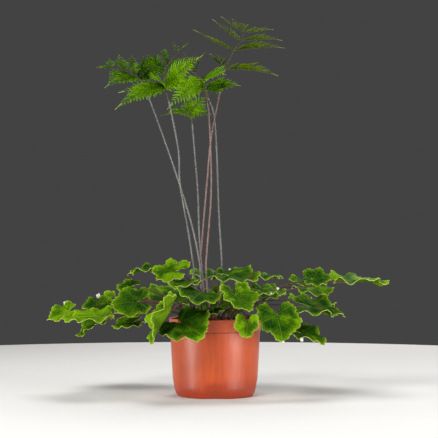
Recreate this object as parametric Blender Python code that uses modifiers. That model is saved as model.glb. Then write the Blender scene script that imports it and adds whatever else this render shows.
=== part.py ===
"""A potted antenna fern: thin hairy stalks hold divided fronds high over a low skirt of lobed leaves.

The origin is the middle of the pot's flat underside. +Z is up and the side that is seen first faces -Y.
Points of stalks, fronds and leaves are in millimetres and are scaled by MM where they are used.
"""

import math

import bmesh
import bpy
from mathutils import Matrix, Vector, noise

MM = 0.001
CLEARANCE = 0.3 * MM
WELD = 0.01 * MM

# Pot: a thin plastic nursery pot with a deep collar and a bevelled foot.
POT_HEIGHT = 109 * MM
COLLAR_RADIUS = 65.0 * MM
COLLAR_DEPTH = 18 * MM
COLLAR_STEP = 1.3 * MM
SHOULDER_TOP_RADIUS = COLLAR_RADIUS - COLLAR_STEP
SHOULDER_FOOT_RADIUS = 59.4 * MM
FOOT_RADIUS = 54.2 * MM
FOOT_HEIGHT = 12.5 * MM
FOOT_BEVEL_SHARE = 0.45
FLOOR_EDGE_SHARE = 0.7
WALL = 1.6 * MM
RIM_BEAD = 0.7 * MM
RIM_ROUNDING = 0.2 * MM
BEAD_DROP = 1.2 * MM
BEAD_FOOT_DROP = 2.8 * MM
BEAD_FOOT_SHARE = 0.4
COLLAR_TAPER = 0.3 * MM
COLLAR_LIP = 1.0 * MM
INNER_FOOT_RISE = 0.4 * MM
POT_STEPS = 32
FOOT_DENT_DEPTH = 4.5 * MM
FOOT_DENT_HEIGHT = 24 * MM
FOOT_DENT_HALF_ANGLE = math.radians(15)
FOOT_DENTS = 4
FOOT_DENT_INNER_SHARE = 0.8
DRAIN_HOLES = 6
DRAIN_RADIUS = 3.5 * MM
DRAIN_CIRCLE = 38 * MM

# Potting mix, filled to a little under the rim.
SOIL_EDGE_HEIGHT = 97 * MM
SOIL_CROWN_RISE = 4 * MM
SOIL_LUMP = 1.6 * MM
SOIL_LUMP_SIZE = 11 * MM
SOIL_EDGE_DROP = 1 * MM
SOIL_GAP = CLEARANCE + 0.2 * MM
SOIL_RINGS = (0.55, 0.8)
SOIL_STEPS = 24

# Rhizome: the short scaly stem that the tall stalks grow from.
CROWN_CENTRE = Vector((-9, 0, 0)) * MM
RHIZOME_RADIUS = 15 * MM
RHIZOME_STRETCH = 20 / 15
RHIZOME_BOTTOM = 84 * MM
RHIZOME_SHOULDER = 101 * MM
RHIZOME_TOP = 111 * MM
RHIZOME_DOME = ((0.5, 1.2 * MM), (0.85, 4.5 * MM))
RHIZOME_SHOULDER_SHARE = 0.97
RHIZOME_FOOT_SHARE = 0.9
RHIZOME_STEPS = 16
RHIZOME_GAP = 0.5 * MM
KNOB_SHARE = 0.10
KNOB_HEIGHT = 1.2 * MM
KNOB_WIDTH_SIZE = 5 * MM
KNOB_HEIGHT_SIZE = 6 * MM

# Stems.
HOLE_BOTTOM = 86 * MM
STALK_BOTTOM = RHIZOME_BOTTOM + 4 * MM
HOLE_TOP = POT_HEIGHT + 10 * MM
STALK_BASE_RADIUS = 1.35 * MM
STALK_TIP_RADIUS = 0.95 * MM
RACHIS_TIP_RADIUS = 0.6 * MM
STEM_HOLE_RADIUS = STALK_BASE_RADIUS + 0.45 * MM
PETIOLE_RADIUS = 1.25 * MM
PETIOLE_HOLE_RADIUS = PETIOLE_RADIUS + 0.6 * MM
SPAN_STEPS = 2

# Leaf blades.
LEAF_THICKNESS = 0.9 * MM
LEAF_WELD = 0.05 * MM
LEAF_HALF_ANGLE = math.radians(150)
LEAF_LOBES_PITCH = math.radians(60)
LEAF_STEPS = 20
LEAF_RINGS = 2
SMALL_LEAF = 50 * MM
SMALL_LEAF_RINGS = 1
LEAF_NOTCH = 0.15
LEAF_NOTCH_POWER = 1.5
LEAF_NARROWING = 0.34
LEAF_NARROWING_POWER = 1.3
LEAF_WAVE = 0.08
LEAF_WAVES = 2.5
LEAF_LOBE_LIFT = 0.06
LEAF_TIP_DROOP = 0.16
LEAF_SIDE_DROOP = 0.10
PETIOLE_STEPS = 4
PETIOLE_TAPER = 0.72
PETIOLE_START = 4 * MM
PETIOLE_RISE_SHARE = 0.45
PETIOLE_LARGEST_RISE = 34 * MM
PETIOLE_REACH_SHARE = 0.35
MIDRIB_SHARE = 0.32
PETIOLE_SINK = 0.55 * MM

# Frond pinnae.
PINNA_THICKNESS = 0.75 * MM
PINNA_RIB = 0.9 * MM
PINNULE_SWEEPS = {"fresh_frond": math.radians(58), "olive_frond": math.radians(40)}
LONGEST_PINNULE_SHARE = 0.25
FIRST_PINNULE = 0.62
LAST_PINNULE = 0.14
PINNULE_POWER = 1.15
TAIL_SHARE = 0.12
TAIL_START = 0.15
TAIL_OVERLAP = 0.02

COLOURS = {
    "terracotta_plastic": ((0.66, 0.17, 0.065), 0.42),
    "potting_mix": ((0.035, 0.022, 0.014), 0.95),
    "rhizome_scales": ((0.16, 0.07, 0.035), 0.85),
    "hairy_stalk": ((0.30, 0.22, 0.19), 0.75),
    "fresh_frond": ((0.13, 0.36, 0.02), 0.55),
    "olive_frond": ((0.10, 0.20, 0.02), 0.55),
    "lobed_leaf": ((0.10, 0.28, 0.03), 0.5),
}

# Each tall frond: the points of its stalk over the soil, those of its rachis from the stalk's top,
# and its pinnae as (share of the rachis, tip, arch, pinnule length, pairs, plane tilt, fold).
# A positive tilt turns the plane's upper side away from the front.
FRONDS = {
    "frond_1": {
        "stalk": ((-18, -8, 108), (-20, -11, 150), (-23, -12, 192), (-35, 0, 247),
                  (-56, 14, 314), (-81, 24, 385), (-100, 30, 436)),
        "rachis": ((-100, 30, 436), (-110, 32, 453), (-135, 20, 464), (-169, 4, 466)),
        "leaf": "fresh_frond",
        "pinnae": (
            (0.25, (-70, 60, 491), 6, 19, 6, 50, 12),
            (0.25, (-145, 90, 458), 8, 17, 6, 34, 12),
            (0.25, (-156, -20, 434), 8, 15, 6, -40, 12),
            (0.34, (-120, 0, 485), 2, 12, 4, -40, 12),
            (0.52, (-136, -24, 480), 2, 11, 3, -40, 12),
            (0.52, (-158, 60, 451), 3, 13, 4, 34, 12),
            (0.76, (-149, -20, 475), 1, 8, 3, -30, 12),
        ),
        "tail": (12, 5, 12),
    },
    "frond_2": {
        "stalk": ((-22, 4, 108), (-28, 7, 150), (-32, 8, 188), (-39, 8, 235),
                  (-50, 2, 298), (-52, -3, 343), (-60, -10, 389), (-66, -13, 416)),
        "rachis": ((-66, -13, 416), (-71, -10, 434), (-72, 8, 462), (-56, 22, 488), (-38, 28, 506)),
        "leaf": "fresh_frond",
        "pinnae": (
            (0.20, (-139, 4, 430), 1, 15, 6, 36, 12),
            (0.20, (-138, -62, 398), 10, 20, 7, -38, 12),
            (0.22, (-90, -44, 443), 5, 18, 4, -56, 12),
            (0.20, (-18, -64, 472), 2, 19, 8, -70, 12),
            (0.26, (-26, 30, 442), 6, 17, 5, 40, 12),
            (0.50, (-108, 34, 472), 3, 16, 4, 42, 12),
            (0.52, (-37, -10, 478), 2, 11, 3, -30, 12),
            (0.60, (-80, 40, 495), 2, 12, 3, 50, 12),
            (0.80, (-61, 8, 503), 1, 6, 2, -16, 12),
        ),
        "tail": (9, 4, 12),
    },
    "frond_3": {
        "stalk": ((-13, 9, 108), (-17, 13, 150), (-20, 14, 188), (-23, 14, 227),
                  (-25, 14, 287), (-30, 14, 350), (-33, 14, 386)),
        "rachis": ((-33, 14, 386), (-36, 12, 398), (-52, 8, 401), (-80, 0, 396)),
        "leaf": "fresh_frond",
        "pinnae": (
            (0.28, (-70, 46, 406), 4, 13, 4, 34, 12),
            (0.28, (-14, 8, 424), 3, 16, 4, 46, 12),
            (0.28, (-6, 50, 404), 4, 15, 4, 44, 12),
            (0.30, (-38, -30, 416), 3, 11, 3, -34, 12),
        ),
        "tail": (10, 5, 12),
    },
    "frond_4": {
        "stalk": ((-11, -1, 108), (-18, -4, 150), (-21, -5, 184), (-18, -4, 226),
                  (-12, 0, 298), (-6, 4, 364), (4, 9, 417), (9, 13, 446)),
        "rachis": ((9, 13, 446), (13, 14, 462), (27, 6, 491), (37, -2, 504), (44, -24, 522)),
        "leaf": "olive_frond",
        "pinnae": (
            (0.20, (92, 34, 459), 5, 25, 7, 4, 52),
            (0.20, (-8, -56, 476), 6, 17, 4, -14, 30),
            (0.50, (100, 18, 497), 3, 22, 7, 4, 48),
            (0.50, (-31, -24, 516), -4, 18, 7, -14, 34),
            (0.68, (96, 2, 505), 3, 18, 7, 4, 42),
            (0.68, (-4, -48, 526), -3, 16, 6, -10, 30),
            (0.85, (82, -28, 515), -1, 15, 5, 4, 38),
            (0.85, (8, -66, 526), -2, 13, 4, -6, 28),
            (0.90, (23, -76, 521), -1, 11, 3, -4, 24),
        ),
        "tail": (8, 3, 24),
    },
    "frond_5": {
        "stalk": ((-6, -9, 108), (-10, -12, 140), (-13, -13, 177), (-11, -13, 212),
                  (-6, -12, 277), (-6, -12, 335), (-9, -14, 398), (-11, -16, 412)),
        "rachis": ((-11, -16, 412), (-14, -20, 430), (-16, -38, 440), (-22, -68, 436)),
        "leaf": "fresh_frond",
        "pinnae": (
            (0.30, (36, -32, 435), 3, 20, 6, -36, 12),
            (0.30, (-53, -44, 429), 6, 15, 4, -40, 12),
            (0.60, (14, -84, 443), 6, 21, 4, -50, 12),
            (0.60, (-66, -62, 398), 8, 19, 6, -52, 12),
            (0.75, (-36, -96, 433), 4, 13, 3, -50, 12),
        ),
        "tail": (11, 4, 12),
    },
    "frond_6": {
        "stalk": ((3, 3, 108), (7, 5, 150), (9, 5, 188), (5, 7, 261), (2, 14, 348),
                  (-2, 22, 400), (-10, 26, 424)),
        "rachis": ((-10, 26, 424), (-16, 30, 444), (-28, 36, 460), (-52, 42, 476)),
        "leaf": "olive_frond",
        "pinnae": (
            (0.30, (36, 60, 448), 3, 15, 5, 24, 16),
            (0.30, (-59, 92, 457), 6, 16, 4, 28, 16),
            (0.45, (5, 80, 464), 5, 15, 4, 44, 16),
            (0.62, (-46, 20, 490), 2, 13, 4, 24, 24),
            (0.62, (-15, 60, 498), 5, 15, 4, 24, 24),
            (0.74, (-28, 50, 496), 2, 11, 3, 24, 24),
        ),
        "tail": (9, 4, 16),
    },
}

# Rings of stems round the rhizome, from the innermost: radius of the ring of holes.
RINGS = {"upper": 24, "middle": 30, "lower": 36}

# Each skirt leaf: (ring, joint of stem and blade, heading, pitch, roll, length, fold, wave phase).
# Heading 0 points to +X and -90 to the front; a positive pitch lifts the tip; a positive roll lifts
# the leaf's left side. Angles are in degrees.
LEAVES = (
    ("lower", (-206, -16, 119), 205, -16, -20, 32, 0.10, 0.0),
    ("lower", (-162, -60, 113), 190, -1, -10, 46, 0.22, 1.0),
    ("upper", (-160, -12, 129), 198, -8, -24, 28, 0.14, 2.0),
    ("middle", (-106, -56, 134), 190, -4, -40, 36, 0.14, 2.6),
    ("middle", (-122, 40, 153), 165, 4, -28, 22, 0.16, 3.0),
    ("upper", (-90, 36, 178), 168, -1, -6, 38, 0.10, 4.0),
    ("lower", (-168, 30, 103), 184, -26, -14, 38, 0.18, 5.0),
    ("lower", (-115, -23, 104), 194, -10, -16, 30, 0.24, 0.6),
    ("upper", (-55, -26, 176), 165, 4, -32, 35, 0.12, 1.6),
    ("upper", (-35, -50, 160), 192, -2, -8, 30, 0.10, 2.6),
    ("middle", (-20, -74, 146), -105, -6, -12, 40, 0.10, 3.6),
    ("lower", (-47, -84, 107), -48, -14, 30, 46, 0.12, 4.6),
    ("lower", (-3, -54, 124), -80, -14, 0, 18, 0.10, 5.6),
    ("upper", (19, -31, 170), -12, 4, 15, 44, 0.12, 0.3),
    ("middle", (28, -80, 144), -48, -38, 10, 34, 0.40, 1.3),
    ("upper", (62, 34, 168), 20, 0, 6, 38, 0.14, 2.3),
    ("middle", (65, -42, 148), 0, -2, 12, 32, 0.16, 3.3),
    ("lower", (84, -76, 117), -72, -50, 4, 39, 0.14, 4.3),
    ("lower", (43, -98, 108), -98, -62, 0, 22, 0.40, 5.3),
    ("middle", (130, 52, 153), 4, -4, 20, 43, 0.16, 0.9),
    ("lower", (138, -8, 164), 0, 4, 34, 27, 0.30, 1.9),
    ("middle", (193, 16, 161), 4, 1, 4, 56, 0.20, 2.9),
    ("lower", (131, -32, 127), -4, -6, 15, 50, 0.12, 3.9),
    ("lower", (118, -60, 91), -6, -10, 18, 35, 0.18, 4.9),
    ("upper", (-2, 66, 168), 92, 12, 0, 44, 0.14, 0.2),
    ("middle", (68, 114, 136), 66, 24, 0, 44, 0.16, 1.2),
    ("middle", (-72, 112, 132), 118, 28, 0, 48, 0.16, 2.2),
    ("lower", (138, 74, 128), 28, -14, 0, 46, 0.18, 3.2),
    ("lower", (-130, 102, 128), 142, -10, 0, 46, 0.18, 4.2),
    ("lower", (8, 96, 122), 88, 50, 0, 46, 0.20, 5.2),
    ("middle", (-150, 10, 137), 175, 0, -55, 15, 0.14, 0.7),
    ("middle", (-109, -38, 122), 192, -3, -14, 31, 0.12, 1.7),
    ("middle", (-61, -104, 122), 183, -54, -4, 48, 0.55, 3.5),
)


def clear_scene():
    """Remove whatever the opened file holds."""
    for thing in list(bpy.data.objects):
        bpy.data.objects.remove(thing, do_unlink=True)


def new_collection(name, hidden=False):
    """A collection linked to the scene; the one for cutters stays out of renders."""
    made = bpy.data.collections.new(name)
    made.hide_render = hidden
    bpy.context.scene.collection.children.link(made)
    return made


def make_materials():
    """One Principled material for each finish."""
    made = {}
    for name, (colour, roughness) in COLOURS.items():
        finish = bpy.data.materials.new(name)
        finish.use_nodes = True
        shader = finish.node_tree.nodes["Principled BSDF"]
        shader.inputs["Base Color"].default_value = (*colour, 1)
        shader.inputs["Roughness"].default_value = roughness
        shader.inputs["Metallic"].default_value = 0
        made[name] = finish
    return made


def add_object(name, data, collection, finish=None):
    """Link a mesh or curve as an object of that collection."""
    thing = bpy.data.objects.new(name, data)
    collection.objects.link(thing)
    if finish:
        data.materials.append(finish)
    return thing


def evaluated_mesh(thing):
    """A plain mesh of the object with its modifiers applied and loose caps welded."""
    bpy.context.view_layer.update()
    graph = bpy.context.evaluated_depsgraph_get()
    mesh = bpy.data.meshes.new_from_object(thing.evaluated_get(graph))
    mesh.transform(thing.matrix_world)
    shape = bmesh.new()
    shape.from_mesh(mesh)
    bmesh.ops.remove_doubles(shape, verts=shape.verts, dist=WELD)
    bmesh.ops.triangulate(shape, faces=shape.faces)
    shape.to_mesh(mesh)
    shape.free()
    return mesh


def bake(thing, collection, finish=None):
    """Swap an object for a mesh of its evaluated shape."""
    name = thing.name
    mesh = evaluated_mesh(thing)
    bpy.data.objects.remove(thing, do_unlink=True)
    mesh.materials.clear()
    return add_object(name, mesh, collection, finish)


def combine(thing, others, operation):
    """Join a collection's objects to the object, or cut them from it, and remove them."""
    modifier = thing.modifiers.new(operation.lower(), "BOOLEAN")
    modifier.operation = operation
    modifier.operand_type = "COLLECTION"
    modifier.collection = others
    mesh = evaluated_mesh(thing)
    thing.modifiers.clear()
    thing.data = mesh
    for other in list(others.objects):
        bpy.data.objects.remove(other, do_unlink=True)
    return thing


def smooth_path(points, steps=SPAN_STEPS):
    """Points of a smooth curve through the given ones, a few for each span."""
    knots = [Vector(p) * MM for p in points]
    ends = [2 * knots[0] - knots[1], *knots, 2 * knots[-1] - knots[-2]]
    made = []
    for before, start, stop, after in zip(ends, ends[1:], ends[2:], ends[3:]):
        for step in range(steps):
            t = step / steps
            made.append(0.5 * (2 * start + (stop - before) * t
                               + (2 * before - 5 * start + 4 * stop - after) * t ** 2
                               + (3 * start - before - 3 * stop + after) * t ** 3))
    made.append(knots[-1])
    return made


def bezier(start, lift, reach, stop, steps):
    """Points of one cubic curve."""
    made = []
    for step in range(steps + 1):
        t = step / steps
        made.append((1 - t) ** 3 * start + 3 * (1 - t) ** 2 * t * lift
                    + 3 * (1 - t) * t ** 2 * reach + t ** 3 * stop)
    return made


def tube(name, path, start_radius, stop_radius, collection, finish=None, resolution=1):
    """A tapering stem along the path, closed at both ends."""
    curve = bpy.data.curves.new(name, "CURVE")
    curve.dimensions = "3D"
    curve.bevel_depth = 1.0
    curve.bevel_resolution = resolution
    curve.use_fill_caps = True
    line = curve.splines.new("POLY")
    line.points.add(len(path) - 1)
    for index, (point, place) in enumerate(zip(line.points, path)):
        share = index / (len(path) - 1)
        point.co = (*place, 1)
        point.radius = start_radius + (stop_radius - start_radius) * share
    return add_object(name, curve, collection, finish)


def turned(name, profile, steps, collection, finish=None):
    """A solid of revolution round Z from a profile that runs down its outer side."""
    mesh = bpy.data.meshes.new(name)
    mesh.from_pydata([(r, 0, z) for r, z in profile],
                     [(i, i + 1) for i in range(len(profile) - 1)], [])
    thing = add_object(name, mesh, collection)
    spin = thing.modifiers.new("turn", "SCREW")
    spin.steps = steps
    spin.render_steps = steps
    spin.use_merge_vertices = True
    spin.merge_threshold = WELD
    return bake(thing, collection, finish)


def dent(point):
    """Push a point of the pot's foot inwards at each of its drainage recesses."""
    reach = math.hypot(point.x, point.y)
    if reach < FOOT_RADIUS * FOOT_DENT_INNER_SHARE or point.z > FOOT_DENT_HEIGHT:
        return point
    pitch = 2 * math.pi / FOOT_DENTS
    angle = (math.atan2(point.y, point.x) + math.pi / 2 + pitch / 2) % pitch - pitch / 2
    across = max(0.0, 1 - (angle / FOOT_DENT_HALF_ANGLE) ** 2)
    depth = FOOT_DENT_DEPTH * across * (1 - point.z / FOOT_DENT_HEIGHT)
    shrink = (reach - depth) / reach
    return Vector((point.x * shrink, point.y * shrink, point.z))


def inner_radius(height):
    """Inside radius of the pot's wall between its foot and its collar."""
    top = POT_HEIGHT - COLLAR_DEPTH
    share = (height - FOOT_HEIGHT) / (top - FOOT_HEIGHT)
    return SHOULDER_FOOT_RADIUS + (SHOULDER_TOP_RADIUS - SHOULDER_FOOT_RADIUS) * share - WALL


def make_pot(collection, cutters, finish):
    """The pot: collar, tapering wall, bevelled foot, recesses and drain holes in the floor."""
    collar_foot = POT_HEIGHT - COLLAR_DEPTH
    profile = [
        (COLLAR_RADIUS - WALL + RIM_ROUNDING, POT_HEIGHT),
        (COLLAR_RADIUS, POT_HEIGHT - RIM_ROUNDING),
        (COLLAR_RADIUS + RIM_BEAD, POT_HEIGHT - BEAD_DROP),
        (COLLAR_RADIUS + RIM_BEAD * BEAD_FOOT_SHARE, POT_HEIGHT - BEAD_FOOT_DROP),
        (COLLAR_RADIUS - COLLAR_TAPER, collar_foot + COLLAR_LIP),
        (SHOULDER_TOP_RADIUS, collar_foot),
        (inner_radius(FOOT_DENT_HEIGHT) + WALL, FOOT_DENT_HEIGHT),
        (SHOULDER_FOOT_RADIUS, FOOT_HEIGHT),
        (SHOULDER_FOOT_RADIUS - WALL, FOOT_HEIGHT * FOOT_BEVEL_SHARE),
        (FOOT_RADIUS, 0),
        (0, 0),
        (0, WALL),
        (FOOT_RADIUS - WALL * FLOOR_EDGE_SHARE, WALL),
        (inner_radius(FOOT_HEIGHT), FOOT_HEIGHT + INNER_FOOT_RISE),
        (inner_radius(FOOT_DENT_HEIGHT), FOOT_DENT_HEIGHT),
        (inner_radius(collar_foot), collar_foot),
        (COLLAR_RADIUS - WALL - COLLAR_TAPER, collar_foot + WALL),
        (COLLAR_RADIUS - WALL + RIM_ROUNDING, POT_HEIGHT),
    ]
    pot = turned("pot", profile, POT_STEPS, collection, finish)
    for vertex in pot.data.vertices:
        vertex.co = dent(vertex.co)
    for number in range(DRAIN_HOLES):
        angle = 2 * math.pi * (number + 0.5) / DRAIN_HOLES
        add_cutter(f"drain_{number}", DRAIN_CIRCLE * math.cos(angle), DRAIN_CIRCLE * math.sin(angle),
                   DRAIN_RADIUS, -WALL, 2 * WALL, cutters)
    combine(pot, cutters, "DIFFERENCE")
    return pot


def add_cutter(name, x, y, radius, low, high, cutters, sides=8):
    """An upright cylinder that cuts a plain hole."""
    shape = bmesh.new()
    bmesh.ops.create_cone(shape, cap_ends=True, segments=sides, radius1=radius, radius2=radius,
                          depth=high - low, matrix=Matrix.Translation((x, y, (low + high) / 2)))
    mesh = bpy.data.meshes.new(name)
    shape.to_mesh(mesh)
    shape.free()
    cutter = add_object(name, mesh, cutters)
    cutter.display_type = "WIRE"
    cutter.hide_render = True


def soil_surface(x, y):
    """Height of the potting mix: a low mound with lumps."""
    reach = min(1.0, math.hypot(x, y) / COLLAR_RADIUS)
    mound = SOIL_CROWN_RISE * (1 - reach ** 2)
    lumps = SOIL_LUMP * noise.noise(Vector((x, y, 0)) / SOIL_LUMP_SIZE)
    return SOIL_EDGE_HEIGHT + mound + lumps * (1 - reach ** 4)


def make_soil(stem_places, collection, cutters, finish):
    """The potting mix that fills the pot, with a plain hole for the rhizome and each leaf stem."""
    collar_foot = POT_HEIGHT - COLLAR_DEPTH
    edge = inner_radius(collar_foot) - SOIL_GAP
    foot = FOOT_RADIUS - FOOT_DENT_DEPTH - WALL - 2 * SOIL_GAP
    profile = [
        (0, SOIL_EDGE_HEIGHT),
        *((edge * share, SOIL_EDGE_HEIGHT) for share in SOIL_RINGS),
        (edge, SOIL_EDGE_HEIGHT - SOIL_EDGE_DROP),
        (inner_radius(FOOT_DENT_HEIGHT) - SOIL_GAP, FOOT_DENT_HEIGHT + WALL),
        (foot, WALL + CLEARANCE),
        (0, WALL + CLEARANCE),
    ]
    soil = turned("potting_mix", profile, SOIL_STEPS, collection, finish)
    for vertex in soil.data.vertices:
        if vertex.co.z > SOIL_EDGE_HEIGHT - CLEARANCE:
            vertex.co.z = soil_surface(vertex.co.x, vertex.co.y)
    rhizome_hole(cutters)
    for number, place in enumerate(stem_places):
        add_cutter(f"stem_hole_{number}", place.x, place.y, PETIOLE_HOLE_RADIUS,
                   HOLE_BOTTOM - CLEARANCE, HOLE_TOP, cutters, sides=6)
    combine(soil, cutters, "DIFFERENCE")
    return soil


def rhizome_hole(cutters):
    """The elliptical hole in the potting mix that the rhizome stands in."""
    add_cutter("rhizome_hole", 0, 0, RHIZOME_RADIUS + RHIZOME_GAP, RHIZOME_BOTTOM - CLEARANCE,
               HOLE_TOP, cutters, sides=RHIZOME_STEPS)
    cutter = cutters.objects["rhizome_hole"]
    for vertex in cutter.data.vertices:
        vertex.co.x = vertex.co.x * RHIZOME_STRETCH + CROWN_CENTRE.x


def make_rhizome(stalk_places, collection, cutters, finish):
    """The knobbly rhizome, with a plain hole for each tall stalk."""
    profile = [
        (0, RHIZOME_TOP),
        *((RHIZOME_RADIUS * share, RHIZOME_TOP - drop) for share, drop in RHIZOME_DOME),
        (RHIZOME_RADIUS * RHIZOME_SHOULDER_SHARE, RHIZOME_SHOULDER),
        (RHIZOME_RADIUS * RHIZOME_FOOT_SHARE, RHIZOME_BOTTOM),
        (0, RHIZOME_BOTTOM),
    ]
    rhizome = turned("rhizome", profile, RHIZOME_STEPS, collection, finish)
    for vertex in rhizome.data.vertices:
        knob = 1.0
        if vertex.co.z > RHIZOME_SHOULDER + CLEARANCE:
            knob = 1 + KNOB_SHARE * noise.noise(vertex.co / KNOB_WIDTH_SIZE)
            vertex.co.z += KNOB_HEIGHT * noise.noise(vertex.co / KNOB_HEIGHT_SIZE)
        vertex.co.x = vertex.co.x * RHIZOME_STRETCH * knob + CROWN_CENTRE.x
        vertex.co.y *= knob
    for number, place in enumerate(stalk_places):
        add_cutter(f"stalk_hole_{number}", place.x, place.y, STEM_HOLE_RADIUS,
                   STALK_BOTTOM - CLEARANCE, HOLE_TOP, cutters)
    combine(rhizome, cutters, "DIFFERENCE")
    return rhizome


def lobed_radius(angle):
    """Outline of a lobed leaf as a share of its length: blunt lobes that shorten towards the base."""
    reach = 1 - LEAF_NARROWING * (abs(angle) / LEAF_HALF_ANGLE) ** LEAF_NARROWING_POWER
    lobe = 0.5 - 0.5 * math.cos(2 * math.pi * angle / LEAF_LOBES_PITCH)
    return reach * (1 - LEAF_NOTCH * lobe ** LEAF_NOTCH_POWER)


def leaf_surface(angle, share, length, fold, phase):
    """A point of the blade in the leaf's own frame: +X to the tip, +Z up, origin at the stem.

    The fold is the slope to which both halves are raised along the midrib.
    """
    reach = share * lobed_radius(angle)
    x = reach * math.cos(angle)
    y = reach * math.sin(angle)
    wave = LEAF_WAVE * reach ** 2 * math.sin(LEAF_WAVES * angle + phase)
    lobes = LEAF_LOBE_LIFT * reach ** 2 * math.cos(2 * math.pi * angle / LEAF_LOBES_PITCH)
    rise = wave + lobes - LEAF_TIP_DROOP * max(x, 0) ** 2 - LEAF_SIDE_DROOP * y ** 2
    crease = math.atan(fold)
    across = abs(y) * math.cos(crease) - rise * math.sin(crease)
    height = abs(y) * math.sin(crease) + rise * math.cos(crease)
    return Vector((x, math.copysign(across, y), height)) * length


def leaf_frame(joint, heading, pitch, roll):
    """The matrix that puts a leaf on its stem."""
    turn = (Matrix.Rotation(math.radians(heading), 4, "Z")
            @ Matrix.Rotation(-math.radians(pitch), 4, "Y")
            @ Matrix.Rotation(math.radians(roll), 4, "X"))
    return Matrix.Translation(joint) @ turn


def make_blade(name, frame, length, fold, phase, collection, finish):
    """A thin lobed blade: a grid bent round the stem's end, given its thickness by Solidify."""
    shape = bmesh.new()
    rings = LEAF_RINGS if length > SMALL_LEAF else SMALL_LEAF_RINGS
    bmesh.ops.create_grid(shape, x_segments=LEAF_STEPS, y_segments=rings, size=1)
    for vertex in shape.verts:
        share = (vertex.co.y + 1) / 2
        vertex.co = frame @ leaf_surface(vertex.co.x * LEAF_HALF_ANGLE, share, length, fold, phase)
    bmesh.ops.remove_doubles(shape, verts=shape.verts, dist=LEAF_WELD)
    bmesh.ops.triangulate(shape, faces=shape.faces)
    bmesh.ops.recalc_face_normals(shape, faces=shape.faces)
    mesh = bpy.data.meshes.new(name)
    shape.to_mesh(mesh)
    shape.free()
    blade = add_object(name, mesh, collection)
    shell = blade.modifiers.new("thickness", "SOLIDIFY")
    shell.thickness = LEAF_THICKNESS
    shell.offset = 0
    return bake(blade, collection, finish)


def petiole_foot(ring, joint):
    """Where a leaf's stem leaves the soil: on its ring, towards its blade."""
    away = Vector((joint.x - CROWN_CENTRE.x, joint.y - CROWN_CENTRE.y, 0)).normalized()
    start = Vector((0, 0, SOIL_EDGE_HEIGHT + PETIOLE_START))
    return CROWN_CENTRE + away * RINGS[ring] * MM + start


def petiole_path(foot, frame, length, fold, phase):
    """The stem from its hole, up and out to the blade, then under it as the midrib's first stretch."""
    joint = frame.translation
    ahead = (frame.to_3x3() @ Vector((1, 0, 0))).normalized()
    below = frame.to_3x3() @ Vector((0, 0, -1))
    under = below * (PETIOLE_RADIUS + LEAF_THICKNESS)
    distance = (joint - foot).length
    rise = Vector((0, 0, min(distance * PETIOLE_RISE_SHARE, PETIOLE_LARGEST_RISE)))
    path = [Vector((foot.x, foot.y, HOLE_BOTTOM))]
    path += bezier(foot, foot + rise, joint + under - ahead * distance * PETIOLE_REACH_SHARE,
                   joint + under, PETIOLE_STEPS)
    path.append(frame @ leaf_surface(0, MIDRIB_SHARE, length, fold, phase) + below * PETIOLE_SINK)
    return path


def make_leaf(number, spec, collection, joining, finish):
    """One skirt leaf: blade and stem in one piece."""
    ring, joint, heading, pitch, roll, length, fold, phase = spec
    name = f"leaf_{number:02d}"
    joint = Vector(joint) * MM
    frame = leaf_frame(joint, heading, pitch, roll)
    foot = petiole_foot(ring, joint)
    blade = make_blade(name, frame, length * MM, fold, phase, collection, finish)
    path = petiole_path(foot, frame, length * MM, fold, phase)
    stem = tube(f"{name}_stem", path, PETIOLE_RADIUS, PETIOLE_RADIUS * PETIOLE_TAPER, joining,
                resolution=0)
    bake(stem, joining)
    combine(blade, joining, "UNION")
    return foot


def pinnule_length(share, longest):
    """Length of the pinnules along a pinna: longest at a quarter, shortening to the tail."""
    if share < LONGEST_PINNULE_SHARE:
        return longest * (FIRST_PINNULE + (1 - FIRST_PINNULE) * share / LONGEST_PINNULE_SHARE)
    past = (share - LONGEST_PINNULE_SHARE) / (1 - LONGEST_PINNULE_SHARE)
    return longest * (1 - (1 - LAST_PINNULE) * past ** PINNULE_POWER)


def make_pinna(name, curve, longest, pairs, sweep, tilt, fold, collection):
    """One feather: a thin arched strip whose edges are cut to the rib into swept pinnules."""
    root, bend, tip = curve
    last = 2 * pairs + 1
    shape = bmesh.new()
    bmesh.ops.create_grid(shape, x_segments=last, y_segments=2, size=1)
    up = Vector((0, math.sin(math.radians(tilt)), math.cos(math.radians(tilt))))
    for vertex in shape.verts:
        column = round((vertex.co.x + 1) / 2 * last)
        side = round(vertex.co.y)
        comb = min(column / (last - 1), 1)
        share = (1 - TAIL_SHARE) * comb if column < last else 1
        place = (1 - share) ** 2 * root + 2 * (1 - share) * share * bend + share ** 2 * tip
        along = (2 * (1 - share) * (bend - root) + 2 * share * (tip - bend)).normalized()
        across = up.cross(along).normalized()
        lift = along.cross(across)
        width = PINNA_RIB if column < last else PINNA_RIB / 2
        if column % 2 == 0 or column == last:
            place += across * side * width
        elif side:
            outward = across * side * math.cos(fold) + lift * math.sin(fold)
            reach = pinnule_length(comb, longest)
            place += (outward * math.sin(sweep) + along * math.cos(sweep)) * reach
        vertex.co = place
    bmesh.ops.triangulate(shape, faces=shape.faces)
    bmesh.ops.recalc_face_normals(shape, faces=shape.faces)
    mesh = bpy.data.meshes.new(name)
    shape.to_mesh(mesh)
    shape.free()
    pinna = add_object(name, mesh, collection)
    shell = pinna.modifiers.new("thickness", "SOLIDIFY")
    shell.thickness = PINNA_THICKNESS
    shell.offset = 0
    return bake(pinna, collection)


def point_at(path, share):
    """The point at that share of a path's length."""
    lengths = [(b - a).length for a, b in zip(path, path[1:])]
    left = share * sum(lengths)
    for (start, stop), span in zip(zip(path, path[1:]), lengths):
        if left <= span:
            return start.lerp(stop, left / span)
        left -= span
    return path[-1].copy()


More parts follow.
